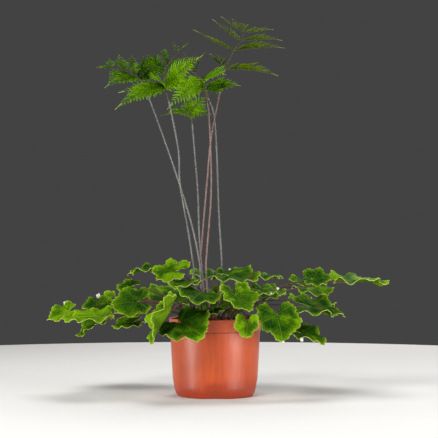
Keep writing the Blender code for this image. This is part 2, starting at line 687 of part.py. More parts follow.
def shortened(path, share):
    """The path up to that share of its length."""
    stop = point_at(path, share)
    whole = sum((b - a).length for a, b in zip(path, path[1:]))
    made = [path[0]]
    gone = 0
    for before, point in zip(path, path[1:]):
        gone += (point - before).length
        if gone < share * whole - STALK_TIP_RADIUS:
            made.append(point)
    return [*made, stop]


def make_frond(name, spec, collection, joining, finishes):
    """A tall frond: the bare hairy stalk, and the green blade of rachis and pinnae on its top."""
    sweep = PINNULE_SWEEPS[spec["leaf"]]
    path = smooth_path(spec["stalk"])
    foot = Vector((path[0].x, path[0].y, STALK_BOTTOM))
    rachis = smooth_path(spec["rachis"])
    path[-1] = path[-1] - (path[-1] - path[-2]).normalized() * CLEARANCE
    tube(f"{name}_stalk", [foot, *path], STALK_BASE_RADIUS, STALK_TIP_RADIUS, collection,
         finishes["hairy_stalk"])
    last = spec["pinnae"][-1][0]
    stop = last + (1 - last) * TAIL_START
    blade = tube(f"{name}_blade", shortened(rachis, stop), STALK_TIP_RADIUS, RACHIS_TIP_RADIUS,
                 collection, resolution=0)
    blade = bake(blade, collection, finishes[spec["leaf"]])
    for number, (share, tip, arch, longest, pairs, tilt, fold) in enumerate(spec["pinnae"]):
        root = point_at(rachis, share)
        tip = Vector(tip) * MM
        bend = (root + tip) / 2 + Vector((0, 0, arch)) * MM
        make_pinna(f"{name}_pinna_{number}", (root, bend, tip), longest * MM, pairs, sweep, tilt,
                   math.radians(fold), joining)
    longest, pairs, fold = spec["tail"]
    root = point_at(rachis, stop - TAIL_OVERLAP)
    bend = point_at(rachis, (1 + stop) / 2)
    tip = rachis[-1]
    make_pinna(f"{name}_tail", (root, bend, tip), longest * MM, pairs, sweep, 0, math.radians(fold),
               joining)
    combine(blade, joining, "UNION")
    return path[0]


def main():
    clear_scene()
    plant = new_collection("potted_antenna_fern")
    cutters = new_collection("cutters", hidden=True)
    joining = new_collection("joining", hidden=True)
    finishes = make_materials()
    make_pot(plant, cutters, finishes["terracotta_plastic"])
    stalk_places = [make_frond(name, spec, plant, joining, finishes)
                    for name, spec in FRONDS.items()]
    make_rhizome(stalk_places, plant, cutters, finishes["rhizome_scales"])
    stem_places = [make_leaf(number + 1, spec, plant, joining, finishes["lobed_leaf"])
                   for number, spec in enumerate(LEAVES)]
    make_soil(stem_places, plant, cutters, finishes["potting_mix"])


main()
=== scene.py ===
"""A potted antenna fern: its finished looks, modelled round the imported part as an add-on.

Points of stalks, fronds and leaves are in millimetres, as in the part, and are scaled by MM.
"""

import math
import random

import bmesh
import bpy
import numpy as np
from bpy.props import FloatProperty, FloatVectorProperty, IntProperty, PointerProperty
from mathutils import Matrix, Vector, noise


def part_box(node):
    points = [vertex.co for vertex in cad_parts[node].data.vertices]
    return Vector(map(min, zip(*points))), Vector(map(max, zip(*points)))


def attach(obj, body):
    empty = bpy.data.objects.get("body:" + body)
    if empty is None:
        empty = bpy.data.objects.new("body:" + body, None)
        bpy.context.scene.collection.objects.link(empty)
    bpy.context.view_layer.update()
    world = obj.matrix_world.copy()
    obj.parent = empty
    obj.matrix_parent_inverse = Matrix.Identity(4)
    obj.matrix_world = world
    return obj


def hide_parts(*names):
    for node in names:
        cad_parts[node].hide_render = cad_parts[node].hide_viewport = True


bl_info = {
    "name": "Potted Antenna Fern",
    "version": (1, 0, 0),
    "blender": (4, 5, 0),
    "location": "3D View > Sidebar > Fern",
    "description": "Builds a potted fern: its pot, potting mix, crown, tall fronds and leaves",
    "category": "Object",
}

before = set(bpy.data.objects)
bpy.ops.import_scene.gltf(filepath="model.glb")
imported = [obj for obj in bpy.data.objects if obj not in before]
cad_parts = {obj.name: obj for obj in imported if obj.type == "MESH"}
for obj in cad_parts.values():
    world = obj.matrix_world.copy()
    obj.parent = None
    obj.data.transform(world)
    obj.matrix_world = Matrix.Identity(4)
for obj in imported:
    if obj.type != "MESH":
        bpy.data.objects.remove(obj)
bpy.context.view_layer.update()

MM = 0.001
BODY = "root"
POT_LOW, POT_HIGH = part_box("pot")
SOIL_LOW, SOIL_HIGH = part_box("potting_mix")
CROWN_LOW, CROWN_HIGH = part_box("rhizome")
UP = Vector((0, 0, 1))
SEEDS = {"soil": 11, "crown": 23, "stalks": 31, "fronds": 47, "buds": 59}

# Pot.
POT_SIDES = 144
RIM_BEAD = 0.7 * MM
COLLAR_STEP = 1.3 * MM
SHOULDER_FOOT_RADIUS = 59.4 * MM
FOOT_RADIUS = 54.2 * MM
FOOT_HEIGHT = 12.5 * MM
FOOT_ROUNDING = 0.8 * MM
FOOT_CHAMFER = 1.6 * MM
FLOOR_MIDDLE = 6 * MM
COLLAR_ROUNDING = 0.6 * MM
RIM_DEPTH = 2.8 * MM
INNER_RIM_DEPTH = 4 * MM
INNER_LEDGE = 1.6 * MM
INNER_DRAFT = 0.3 * MM
FOOT_DENT_DEPTH = 4.5 * MM
FOOT_DENT_HEIGHT = 24 * MM
FOOT_DENT_HALF_ANGLE = math.radians(17)
FOOT_DENTS = 4
FOOT_DENT_INNER_SHARE = 0.8
DRAIN_HOLES = 6
DRAIN_RADIUS = 3.5 * MM
DRAIN_CIRCLE = 38 * MM
# Heights where the painted shade at the pot's foot starts and where it is full.
PAINTED_FOOT_SHADE_TOP = 34 * MM
PAINTED_FOOT_SHADE_FULL = 2 * MM
# Reach and core of the painted shadow under the collar's step.
PAINTED_STEP_SHADOW_REACH = 1.1 * MM
PAINTED_STEP_SHADOW_CORE = 0.3 * MM

# Potting mix and crown.
SOIL_RINGS = 30
SOIL_SIDES = 120
SOIL_EDGE_HEIGHT = 97 * MM
SOIL_CROWN_RISE = 4 * MM
CROWN_CENTRE = Vector((-9, 0, 0)) * MM
CROWN_RADIUS = 15 * MM
CROWN_STRETCH = 20 / 15
CROWN_RINGS = 24
CROWN_SIDES = 72
SCALES_START = 0.5
SCALES_SPAN = 0.47
CROWN_BEND_START = 0.45
CROWN_KNOBS = 0.16
CROWN_KNOB_SIZE = 5 * MM
HOLE_BOTTOM = 86 * MM
LUMP_SIZE = 11 * MM
CRUMB_SIZE = 3.2 * MM
BARE_RIM = 3 * MM
PERLITE = ((0.5, 0.48, 0.44), (0.7, 0.68, 0.64))

# Stems.
STALK_SINK = 4 * MM
HAIR_WIDTH = 0.06
HAIR_SEAT = 0.85
SPAN_STEPS = 6
PETIOLE_STEPS = 14
PETIOLE_TAPER = 0.72
PETIOLE_SINK = 0.55 * MM
PETIOLE_RISE = 34 * MM
PETIOLE_GAP = 0.9 * MM
STEM_FOOT_RISE = 4 * MM
MIDRIB_SHARE = 0.32
RINGS = {"upper": 24, "middle": 30, "lower": 36}

# Leaf blades.
LEAF_HALF_ANGLE = math.radians(150)
LOBE_PITCH = math.radians(60)
LOBE_NOTCH = 0.15
LEAF_NARROWING = 0.34
TEETH_PER_LOBE = 5
COLUMNS_PER_TOOTH = 6
LEAF_RINGS = 12
# Painted light and shade: lobes alternately lighter and darker, as if each caught the light
# differently.
PAINTED_LOBE_SHADING = 0.24
PAINTED_LOBE_SHADING_PACE = 1.9
BOW = 0.08
BOWS_ROUND = 2.5
LOBE_LIFT = 0.06
TIP_DROOP = 0.16
SIDE_DROOP = 0.10
RUFFLES_ROUND = 9
RUFFLE_SHIFT = 2.7
MAIN_VEIN_WIDTH = 1.3 * MM
SIDE_VEIN_SLOPE = 0.9
SIDE_VEIN_SPACING = 5 * MM
QUILT_START = 2 * MM

# Fronds.
PINNULE_SWEEPS = {"fresh_frond": math.radians(58), "olive_frond": math.radians(40)}
STAGGER_SHARES = {"fresh_frond": 0.15, "olive_frond": 0.0}
TONE_RISE = 0.6
FULLNESS = {"fresh_frond": 1.24, "olive_frond": 1.10}
TAIL_SHARE = 0.12
TAIL_START = 0.15
TIP_SLIMNESS = 0.5
RACHIS_RADII = (0.85 * MM, 0.35 * MM)
RIB_TAPER = 0.35
PINNULE_SWING = math.radians(5)
PINNULE_BEND = 0.16
PINNULE_LOBES = {"fresh_frond": 5, "olive_frond": 7}
CREST_WIDTH = 1.12
NOTCH_WIDTH = 0.55
CREST_LEAN = 0.055
PINNULE_TIP = 0.008
PINNULE_DISH = 0.35
PINNULE_DROOP = 0.10
PINNULE_THICKNESS = 0.026
LONGEST_AT = 0.25
FIRST_SHARE = 0.62
COMB_TAPER = 0.86
USUAL_LENGTH = 16 * MM
SUBDIVIDED_LENGTH = 14 * MM
LESSER_SPACING = 3.2 * MM
LESSER_SWEEP = math.radians(52)
LESSER_SWING = math.radians(6)
LESSER_SHARE = 0.42

# Each tall frond: the points of its stalk over the soil, those of its rachis from the stalk's top,
# its pinnae as (share of the rachis, tip, arch, pinnule length, plane tilt, fold, tone), and its
# tail as (pinnule length, fold).
# A tone of 0 is the deepest green of its kind and 1 the brightest.
FRONDS = {
    "frond_1": {
        "stalk": ((-18, -8, 108), (-20, -11, 150), (-23, -12, 192), (-35, 0, 247),
                  (-56, 14, 314), (-81, 24, 385), (-100, 30, 436)),
        "rachis": ((-100, 30, 436), (-110, 32, 453), (-135, 20, 464), (-169, 4, 466)),
        "leaf": "fresh_frond",
        "skin": "grey",
        "pinnae": (
            (0.25, (-70, 60, 491), 6, 19, 50, 12, 0.30),
            (0.25, (-145, 90, 458), 8, 17, 34, 12, 0.25),
            (0.25, (-156, -20, 434), 8, 15, -40, 12, 0.50),
            (0.34, (-120, 0, 485), 2, 12, -40, 12, 0.50),
            (0.52, (-136, -24, 480), 2, 11, -40, 12, 0.50),
            (0.52, (-158, 60, 451), 3, 13, 34, 12, 0.30),
            (0.76, (-149, -20, 475), 1, 8, -30, 12, 0.55),
        ),
        "tail": (12, 12),
    },
    "frond_2": {
        "stalk": ((-22, 4, 108), (-28, 7, 150), (-32, 8, 188), (-39, 8, 235),
                  (-50, 2, 298), (-52, -3, 343), (-60, -10, 389), (-66, -13, 416)),
        "rachis": ((-66, -13, 416), (-71, -10, 434), (-72, 8, 462), (-56, 22, 488), (-38, 28, 506)),
        "leaf": "fresh_frond",
        "skin": "grey",
        "pinnae": (
            (0.20, (-139, 4, 430), 1, 15, 36, 12, 0.62),
            (0.20, (-138, -62, 398), 10, 20, -38, 12, 0.55),
            (0.22, (-90, -44, 443), 5, 18, -56, 12, 0.80),
            (0.20, (-18, -64, 472), 2, 19, -70, 12, 0.85),
            (0.26, (-26, 30, 442), 6, 17, 40, 12, 0.60),
            (0.50, (-108, 34, 472), 3, 16, 42, 12, 0.28),
            (0.52, (-37, -10, 478), 2, 11, -30, 12, 0.20),
            (0.60, (-80, 40, 495), 2, 12, 50, 12, 0.25),
            (0.80, (-61, 8, 503), 1, 6, -16, 12, 0.55),
        ),
        "tail": (9, 12),
    },
    "frond_3": {
        "stalk": ((-13, 9, 108), (-17, 13, 150), (-20, 14, 188), (-23, 14, 227),
                  (-25, 14, 287), (-30, 14, 350), (-33, 14, 386)),
        "rachis": ((-33, 14, 386), (-36, 12, 398), (-52, 8, 401), (-80, 0, 396)),
        "leaf": "fresh_frond",
        "skin": "grey",
        "pinnae": (
            (0.28, (-70, 46, 406), 4, 13, 34, 12, 0.60),
            (0.28, (-14, 8, 424), 3, 16, 46, 12, 0.80),
            (0.28, (-6, 50, 404), 4, 15, 44, 12, 0.60),
            (0.30, (-38, -30, 416), 3, 11, -34, 12, 0.70),
        ),
        "tail": (10, 12),
    },
    "frond_4": {
        "stalk": ((-11, -1, 108), (-18, -4, 150), (-21, -5, 184), (-18, -4, 226),
                  (-12, 0, 298), (-6, 4, 364), (4, 9, 417), (9, 13, 446)),
        "rachis": ((9, 13, 446), (13, 14, 462), (27, 6, 491), (37, -2, 504), (44, -24, 522)),
        "leaf": "olive_frond",
        "skin": "pink",
        "pinnae": (
            (0.20, (92, 34, 459), 5, 25, 4, 52, 0.50),
            (0.20, (-8, -56, 476), 6, 17, -14, 30, 0.35),
            (0.50, (100, 18, 497), 3, 22, 4, 48, 0.50),
            (0.50, (-31, -24, 516), -4, 18, -14, 34, 0.45),
            (0.68, (96, 2, 505), 3, 18, 4, 42, 0.50),
            (0.68, (-4, -48, 526), -3, 16, -10, 30, 0.50),
            (0.85, (82, -28, 515), -1, 15, 4, 38, 0.55),
            (0.85, (8, -66, 526), -2, 13, -6, 28, 0.55),
            (0.90, (23, -76, 521), -1, 11, -4, 24, 0.60),
        ),
        "tail": (8, 24),
    },
    "frond_5": {
        "stalk": ((-6, -9, 108), (-10, -12, 140), (-13, -13, 177), (-11, -13, 212),
                  (-6, -12, 277), (-6, -12, 335), (-9, -14, 398), (-11, -16, 412)),
        "rachis": ((-11, -16, 412), (-14, -20, 430), (-16, -38, 440), (-22, -68, 436)),
        "leaf": "fresh_frond",
        "skin": "pink",
        "pinnae": (
            (0.30, (36, -32, 435), 3, 20, -36, 12, 0.45),
            (0.30, (-53, -44, 429), 6, 15, -40, 12, 0.65),
            (0.60, (14, -84, 443), 6, 21, -50, 12, 0.75),
            (0.60, (-66, -62, 398), 8, 19, -52, 12, 0.70),
            (0.75, (-36, -96, 433), 4, 13, -50, 12, 0.80),
        ),
        "tail": (11, 12),
    },
    "frond_6": {
        "stalk": ((3, 3, 108), (7, 5, 150), (9, 5, 188), (5, 7, 261), (2, 14, 348),
                  (-2, 22, 400), (-10, 26, 424)),
        "rachis": ((-10, 26, 424), (-16, 30, 444), (-28, 36, 460), (-52, 42, 476)),
        "leaf": "olive_frond",
        "skin": "grey",
        "pinnae": (
            (0.30, (36, 60, 448), 3, 15, 24, 16, 0.45),
            (0.30, (-59, 92, 457), 6, 16, 28, 16, 0.25),
            (0.45, (5, 80, 464), 5, 15, 44, 16, 0.30),
            (0.62, (-46, 20, 490), 2, 13, 24, 24, 0.20),
            (0.62, (-15, 60, 498), 5, 15, 24, 24, 0.30),
            (0.74, (-28, 50, 496), 2, 11, 24, 24, 0.20),
        ),
        "tail": (9, 16),
    },
}

# Each skirt leaf: (ring, joint of stem and blade, heading, pitch, roll, length, fold, wave phase,
# tone). A tone of 0 is the deepest blue green and 1 the brightest yellow green.
# Low tones partly paint shade: leaves lying in shadow are given the deepest greens.
LEAVES = (
    ("lower", (-206, -16, 119), 205, -16, -20, 32, 0.10, 0.0, 0.85),
    ("lower", (-162, -60, 113), 190, -1, -10, 46, 0.22, 1.0, 0.95),
    ("upper", (-160, -12, 129), 198, -8, -24, 28, 0.14, 2.0, 0.05),
    ("middle", (-106, -56, 134), 190, -4, -40, 36, 0.14, 2.6, 0.32),
    ("middle", (-122, 40, 153), 165, 4, -28, 22, 0.16, 3.0, 0.30),
    ("upper", (-90, 36, 178), 168, -1, -6, 38, 0.10, 4.0, 0.35),
    ("lower", (-168, 30, 103), 184, -26, -14, 38, 0.18, 5.0, 0.30),
    ("lower", (-115, -23, 104), 194, -10, -16, 30, 0.24, 0.6, 0.50),
    ("upper", (-55, -26, 176), 165, 4, -32, 35, 0.12, 1.6, 0.80),
    ("upper", (-35, -50, 160), 192, -2, -8, 30, 0.10, 2.6, 0.48),
    ("middle", (-20, -74, 146), -105, -6, -12, 40, 0.10, 3.6, 0.28),
    ("lower", (-47, -84, 107), -48, -14, 30, 46, 0.12, 4.6, 0.36),
    # This leaf lies in shadow under the others; its tone of 0 is painted shade.
    ("lower", (-3, -54, 124), -80, -14, 0, 18, 0.10, 5.6, 0.00),
    ("upper", (19, -31, 170), -12, 4, 15, 44, 0.12, 0.3, 0.34),
    ("middle", (28, -80, 144), -48, -38, 10, 34, 0.40, 1.3, 0.42),
    ("upper", (62, 34, 168), 20, 0, 6, 38, 0.14, 2.3, 0.28),
    ("middle", (65, -42, 148), 0, -2, 12, 32, 0.16, 3.3, 0.40),
    ("lower", (84, -76, 117), -72, -50, 4, 39, 0.14, 4.3, 0.36),
    ("lower", (43, -98, 108), -98, -62, 0, 22, 0.40, 5.3, 0.85),
    ("middle", (130, 52, 153), 4, -4, 20, 43, 0.16, 0.9, 0.42),
    ("lower", (138, -8, 164), 0, 4, 34, 27, 0.30, 1.9, 0.00),
    ("middle", (193, 16, 161), 4, 1, 4, 56, 0.20, 2.9, 0.75),
    ("lower", (131, -32, 127), -4, -6, 15, 50, 0.12, 3.9, 0.20),
    ("lower", (118, -60, 91), -6, -10, 18, 35, 0.18, 4.9, 0.25),
    ("upper", (-2, 66, 168), 92, 12, 0, 44, 0.14, 0.2, 0.30),
    ("middle", (68, 114, 136), 66, 24, 0, 44, 0.16, 1.2, 0.35),
    ("middle", (-72, 112, 132), 118, 28, 0, 48, 0.16, 2.2, 0.45),
    ("lower", (138, 74, 128), 28, -14, 0, 46, 0.18, 3.2, 0.30),
    ("lower", (-130, 102, 128), 142, -10, 0, 46, 0.18, 4.2, 0.40),
    ("lower", (8, 96, 122), 88, 50, 0, 46, 0.20, 5.2, 0.35),
    ("middle", (-150, 10, 137), 175, 0, -55, 15, 0.14, 0.7, 1.00),
    ("middle", (-109, -38, 122), 192, -3, -14, 31, 0.12, 1.7, 0.15),
    ("middle", (-61, -104, 122), 183, -54, -4, 48, 0.55, 3.5, 0.75),
)

# Woolly buds on the leaves' margins: (leaf number, angle round the blade in degrees, length in mm,
# upward share of the way it points).
BUDS = ((31, 0, 7, 1), (1, -100, 4.5, 1), (14, 98, 4.5, 1), (17, 35, 5, 1), (17, -65, 4, 1),
        (8, 135, 5, 0.6), (18, 0, 3.5, -0.5), (24, -85, 6, -1))

BUD_SEAT = 0.8 * MM
BRACT_TURN = 2.4
BRACT_SPREAD = 0.05

# Each studio light: (name, place, aim, size, power in watts).
STUDIO_LIGHTS = (
    ("key_light", (-0.7, -1.4, 1.3), (0, 0, 0.25), (0.7, 0.7), 27),
    ("top_light", (0.1, 0.1, 1.7), (0, 0, 0.2), (0.9, 0.9), 18),
    ("left_strip", (-1.02, -0.52, 0.10), (0, 0, 0.07), (0.20, 0.18), 8.5),
    ("right_panel", (1.26, -0.82, 0.35), (0, 0, 0.10), (1.0, 0.9), 8),
    ("right_low", (0.93, -0.72, 0.10), (0, 0, 0.07), (0.50, 0.18), 8),
    ("back_light", (0.6, 1.5, 1.1), (0, 0, 0.3), (1.0, 1.0), 12),
)


def colour_setting(name, description, default):
    """A linear RGB colour that a user may change."""
    return FloatVectorProperty(name=name, description=description, default=default, size=3,
                               min=0, max=1, subtype="COLOR")


def length_setting(name, description, default):
    """A length in metres that a user may change."""
    return FloatProperty(name=name, description=description, default=default, min=0,
                         subtype="DISTANCE", unit="LENGTH", precision=4)


def share_setting(name, description, default):
    """A share of some other length that a user may change."""
    return FloatProperty(name=name, description=description, default=default, min=0.01, max=1,
                         subtype="FACTOR")


def count_setting(name, description, default, least=1):
    """A number of like things that a user may change."""
    return IntProperty(name=name, description=description, default=default, min=least)


class PotSettings(bpy.types.PropertyGroup):
    """Sizes and colours of the nursery pot."""

    collar_radius: length_setting("Collar Radius", "Radius of the collar under its bead",
                                  POT_HIGH.x - RIM_BEAD)
    collar_depth: length_setting("Collar Depth", "Height of the collar", 18 * MM)
    wall: length_setting("Wall", "Thickness of the plastic", 1.6 * MM)
    colour: colour_setting("Plastic", "Colour of the pot", (0.52, 0.078, 0.011))
    # The deep plastic colour is that of the streaks, and also paints shade at the foot, in the
    # recesses and under the collar's step.
    shade: colour_setting("Deep Plastic", "Colour in streaks and recesses", (0.31, 0.032, 0.005))
    # The dust colour is that of the splashes, and also paints shade inside the collar and a little in
    # the recesses.
    dust_and_painted_shade: colour_setting("Dust", "Colour of dried splashes of soil", (0.11, 0.05, 0.028))


class SoilSettings(bpy.types.PropertyGroup):
    """Sizes and colours of the potting mix."""

    lump: length_setting("Lump", "Height of its lumps", 1.6 * MM)
    crumbs: count_setting("Crumbs", "Number of loose crumbs", 520, least=9)
    colour: colour_setting("Peat", "Colour of the mix", (0.030, 0.019, 0.012))
    bark: colour_setting("Bark", "Colour of its bark crumbs", (0.10, 0.052, 0.028))


class CrownSettings(bpy.types.PropertyGroup):
    """Sizes and colours of the rhizome's crown."""

    scales: count_setting("Scales", "Number of papery scales", 420)
    scale_length: length_setting("Scale Length", "Length of a scale", 4.2 * MM)
    colour: colour_setting("Rhizome", "Colour of its body", (0.11, 0.045, 0.022))
    scale_colour: colour_setting("Scale", "Colour of its scales", (0.30, 0.125, 0.05))


class StalkSettings(bpy.types.PropertyGroup):
    """Sizes and colours of the tall bare stalks."""

    foot_radius: length_setting("Foot Radius", "Radius where a stalk leaves the crown", 1.3 * MM)
    tip_radius: length_setting("Tip Radius", "Radius under the blade", 0.9 * MM)
    hair_length: length_setting("Hair Length", "Length of a hair", 1.1 * MM)
    hairs: count_setting("Hairs", "Number of hairs on each stalk", 2400)
    grey: colour_setting("Grey Stalk", "Colour of the older stalks' skin", (0.115, 0.110, 0.104))
    pink: colour_setting("Pink Stalk", "Colour of the younger stalks' skin", (0.145, 0.090, 0.078))
    hair_colour: colour_setting("Hair", "Colour of the hairs", (0.40, 0.395, 0.39))


class FrondSettings(bpy.types.PropertyGroup):
    """Sizes and colours of the divided blades."""

    fresh_spacing: length_setting("Fresh Spacing", "Distance between a young frond's pinnules",
                                  5.0 * MM)
    olive_spacing: length_setting("Olive Spacing", "Distance between an older frond's pinnules",
                                  5.2 * MM)
    fresh_width: share_setting("Fresh Width", "Width of a young frond's pinnule to its length", 0.38)
    olive_width: share_setting("Olive Width", "Width of an older frond's pinnule to its length",
                               0.135)
    rib_radius: length_setting("Rib Radius", "Radius of a pinna's rib at its root", 0.42 * MM)
    fresh: colour_setting("Fresh Green", "Colour of young fronds", (0.010, 0.050, 0.001))
    fresh_tip: colour_setting("Fresh Tips", "Colour of their tips", (0.115, 0.245, 0.003))
    olive: colour_setting("Olive Green", "Colour of older fronds", (0.016, 0.034, 0.001))
    olive_tip: colour_setting("Olive Tips", "Colour of their tips", (0.13, 0.195, 0.006))
    pale: colour_setting("Pale Tips", "Colour of the pinnae's last tips", (0.26, 0.32, 0.09))
    rib: colour_setting("Ribs", "Colour of rachis and ribs", (0.10, 0.10, 0.025))


class LeafSettings(bpy.types.PropertyGroup):
    """Sizes and colours of the skirt of leaves."""

    thickness: length_setting("Thickness", "Thickness of a blade", 0.7 * MM)
    stem_radius: length_setting("Stem Radius", "Radius of a leaf's stem", 1.1 * MM)
    tooth_depth: share_setting("Tooth Depth", "Depth of the margin's teeth to the blade's length",
                               0.066)
    ruffle: share_setting("Ruffle", "Height of the margin's waves to the blade's length", 0.068)
    groove: length_setting("Vein Groove", "Depth of the main veins", 0.9 * MM)
    quilt: length_setting("Quilting", "Height of the swells between side veins", 0.55 * MM)
    deep: colour_setting("Deep Green", "Colour of shaded leaves", (0.004, 0.030, 0.002))
    mid: colour_setting("Mid Green", "Colour of most leaves", (0.024, 0.073, 0.001))
    bright: colour_setting("Bright Green", "Colour of young leaves", (0.112, 0.232, 0.002))
    margin: colour_setting("Margin", "Colour of the blade's border", (0.22, 0.32, 0.018))
    rim: colour_setting("Rim", "Colour of the very edge", (0.36, 0.44, 0.08))
    underside: colour_setting("Underside", "Colour seen from below", (0.10, 0.18, 0.012))
    rust: colour_setting("Rust", "Colour of the few rusty spots", (0.16, 0.045, 0.012))
    stem: colour_setting("Stem", "Colour of the leaves' stems", (0.052, 0.027, 0.016))


class BudSettings(bpy.types.PropertyGroup):
    """Sizes and colours of the small woolly buds."""

    bracts: count_setting("Bracts", "Number of bracts on each bud", 7, least=3)
    colour: colour_setting("Wool", "Colour of the buds", (0.78, 0.76, 0.66))


class StageSettings(bpy.types.PropertyGroup):
    """The camera, the floor and the studio lights."""

    camera_distance: length_setting("Camera Distance", "Distance in front of the pot", 1.75)
    camera_height: length_setting("Camera Height", "Height over the floor", 0.194)
    camera_side: FloatProperty(name="Camera Side", description="Distance to the right of the pot",
                               default=0.0054, unit="LENGTH")
    camera_tilt: FloatProperty(name="Camera Tilt", description="Upward tilt", subtype="ANGLE",
                               default=math.radians(1.8))
    lens: FloatProperty(name="Lens", description="Focal length in mm on a 36 mm sensor",
                        default=101.3, min=1)
    floor_radius: length_setting("Floor Radius", "Radius of the floor", 1.1)
    floor_colour: colour_setting("Floor", "Colour of the floor", (0.70, 0.69, 0.67))
    room_colour: colour_setting("Room", "Colour of the soft light all round", (0.80, 0.80, 0.80))
    room_light: FloatProperty(name="Room Light", description="Strength of the light all round",
                              default=0.07, min=0)


SETTINGS = {
    "fern_pot": PotSettings,
    "fern_soil": SoilSettings,
    "fern_crown": CrownSettings,
    "fern_stalks": StalkSettings,
    "fern_fronds": FrondSettings,
    "fern_leaves": LeafSettings,
    "fern_buds": BudSettings,
    "fern_stage": StageSettings,
}


def deselect_all():
    """Leave edit mode and select nothing."""
    active = bpy.context.view_layer.objects.active
    if active and active.mode != "OBJECT":
        bpy.ops.object.mode_set(mode="OBJECT")
    bpy.ops.object.select_all(action="DESELECT")


def only_select(piece):
    """Make the piece the one that operators act on."""
    deselect_all()
    piece.select_set(True)
    bpy.context.view_layer.objects.active = piece


def added(operator, name, **settings):
    """The object that an operator adds, alone selected, with its name."""
    deselect_all()
    operator(**settings)
    piece = bpy.context.object
    piece.name = name
    return piece


def move_vertices(piece, place):
    """Move each of the piece's vertices, in edit mode, to where place says."""
    only_select(piece)
    bpy.ops.object.mode_set(mode="EDIT")
    cage = bmesh.from_edit_mesh(piece.data)
    for vertex in cage.verts:
        vertex.co = place(vertex.co)
    bmesh.update_edit_mesh(piece.data)
    bpy.ops.object.mode_set(mode="OBJECT")


def apply_modifiers(piece):
    """Apply the piece's modifiers in their order."""
    only_select(piece)
    for modifier in list(piece.modifiers):
        bpy.ops.object.modifier_apply(modifier=modifier.name)


def close_mesh(piece, distance=0.01 * MM):
    """Merge doubled vertices and point every face outwards."""
    only_select(piece)
    bpy.ops.object.mode_set(mode="EDIT")
    bpy.ops.mesh.select_all(action="SELECT")
    bpy.ops.mesh.remove_doubles(threshold=distance)
    bpy.ops.mesh.normals_make_consistent(inside=False)
    bpy.ops.object.mode_set(mode="OBJECT")


def smooth_shade(piece, degrees=40):
    """Shade the piece smooth, with edges sharper than that left crisp."""
    only_select(piece)
    bpy.ops.object.shade_smooth_by_angle(angle=math.radians(degrees))


def finish_piece(piece, finishes, nodes=()):
    """Put the piece's place in its mesh, give it its finishes and hang it on the frame."""
    only_select(piece)
    bpy.ops.object.transform_apply(location=True, rotation=True, scale=True)
    piece.data.name = piece.name
    piece.data.materials.clear()
    for finish in finishes:
        piece.data.materials.append(finish)
    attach(piece, BODY)
    if nodes:
        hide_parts(*nodes)
    return piece


def rings_up(name, profile, sides):
    """A round piece: a filled circle whose edge is extruded from ring to ring of the profile."""
    radius, height = profile[0]
    piece = added(bpy.ops.mesh.primitive_circle_add, name, vertices=sides, radius=radius,
                  fill_type="NGON", location=(0, 0, height))
    bpy.ops.object.transform_apply(location=True)
    bpy.ops.object.mode_set(mode="EDIT")
    bpy.ops.mesh.select_mode(type="EDGE")
    bpy.ops.mesh.select_all(action="SELECT")
    bpy.ops.mesh.region_to_loop()
    for before, after in zip(profile, profile[1:]):
        bpy.ops.mesh.extrude_edges_move(TRANSFORM_OT_translate={"value": (0, 0, after[1] - before[1])})
        scale = after[0] / before[0]
        bpy.ops.transform.resize(value=(scale, scale, 1), center_override=(0, 0, after[1]))
    bpy.ops.mesh.edge_face_add()
    bpy.ops.mesh.select_mode(type="VERT")
    bpy.ops.object.mode_set(mode="OBJECT")
    close_mesh(piece)
    return piece


def arc(centre, radius, start, stop, steps):
    """Points of a round stretch of a profile, from one angle in degrees to another."""
    made = []
    for step in range(steps + 1):
        angle = math.radians(start + (stop - start) * step / steps)
        made.append((centre[0] + radius * math.cos(angle), centre[1] + radius * math.sin(angle)))
    return made


def straight(start, stop, steps):
    """Points between two points of a profile, without the first."""
    return [(start[0] + (stop[0] - start[0]) * step / steps,
             start[1] + (stop[1] - start[1]) * step / steps) for step in range(1, steps + 1)]


def smooth_path(points, steps=SPAN_STEPS):
    """Points of a smooth curve through the given ones, a few for each span."""
    knots = [Vector(p) * MM for p in points]
    ends = [2 * knots[0] - knots[1], *knots, 2 * knots[-1] - knots[-2]]
    made = []
    for before, start, stop, after in zip(ends, ends[1:], ends[2:], ends[3:]):
        for step in range(steps):
            t = step / steps
            made.append(0.5 * (2 * start + (stop - before) * t
                               + (2 * before - 5 * start + 4 * stop - after) * t ** 2
                               + (3 * start - before - 3 * stop + after) * t ** 3))
    made.append(knots[-1])
    return made


def bezier(start, lift, reach, stop, steps):
    """Points of one cubic curve."""
    made = []
    for step in range(steps + 1):
        t = step / steps
        made.append((1 - t) ** 3 * start + 3 * (1 - t) ** 2 * t * lift
                    + 3 * (1 - t) * t ** 2 * reach + t ** 3 * stop)
    return made


def point_at(path, share):
    """The point at that share of a path's length."""
    lengths = [(b - a).length for a, b in zip(path, path[1:])]
    left = share * sum(lengths)
    for (start, stop), span in zip(zip(path, path[1:]), lengths):
        if left <= span:
            return start.lerp(stop, left / span)
        left -= span
    return path[-1].copy()


def tubes(name, lines, sides=8):
    """One mesh of closed round stems, each given as (path, first radius, last radius)."""
    stem = added(bpy.ops.curve.primitive_nurbs_path_add, name, location=(0, 0, 0))
    curve = stem.data
    curve.splines.clear()
    curve.bevel_depth = 1
    curve.bevel_resolution = sides // 2 - 2
    curve.use_fill_caps = True
    for path, first, last in lines:
        spline = curve.splines.new("POLY")
        spline.points.add(len(path) - 1)
        for index, (point, place) in enumerate(zip(spline.points, path)):
            share = index / (len(path) - 1)
            point.co = (*place, 1)
            point.radius = first + (last - first) * share
    bpy.ops.object.convert(target="MESH")
    close_mesh(stem, 0.001 * MM)
    smooth_shade(stem, 60)
    return stem


def take_shape(template):
    """Points and faces of a modelled template, which is then removed."""
    points = np.array([tuple(v.co) for v in template.data.vertices])
    faces = [tuple(f.vertices) for f in template.data.polygons]
    bpy.data.objects.remove(template, do_unlink=True)
    return points, faces


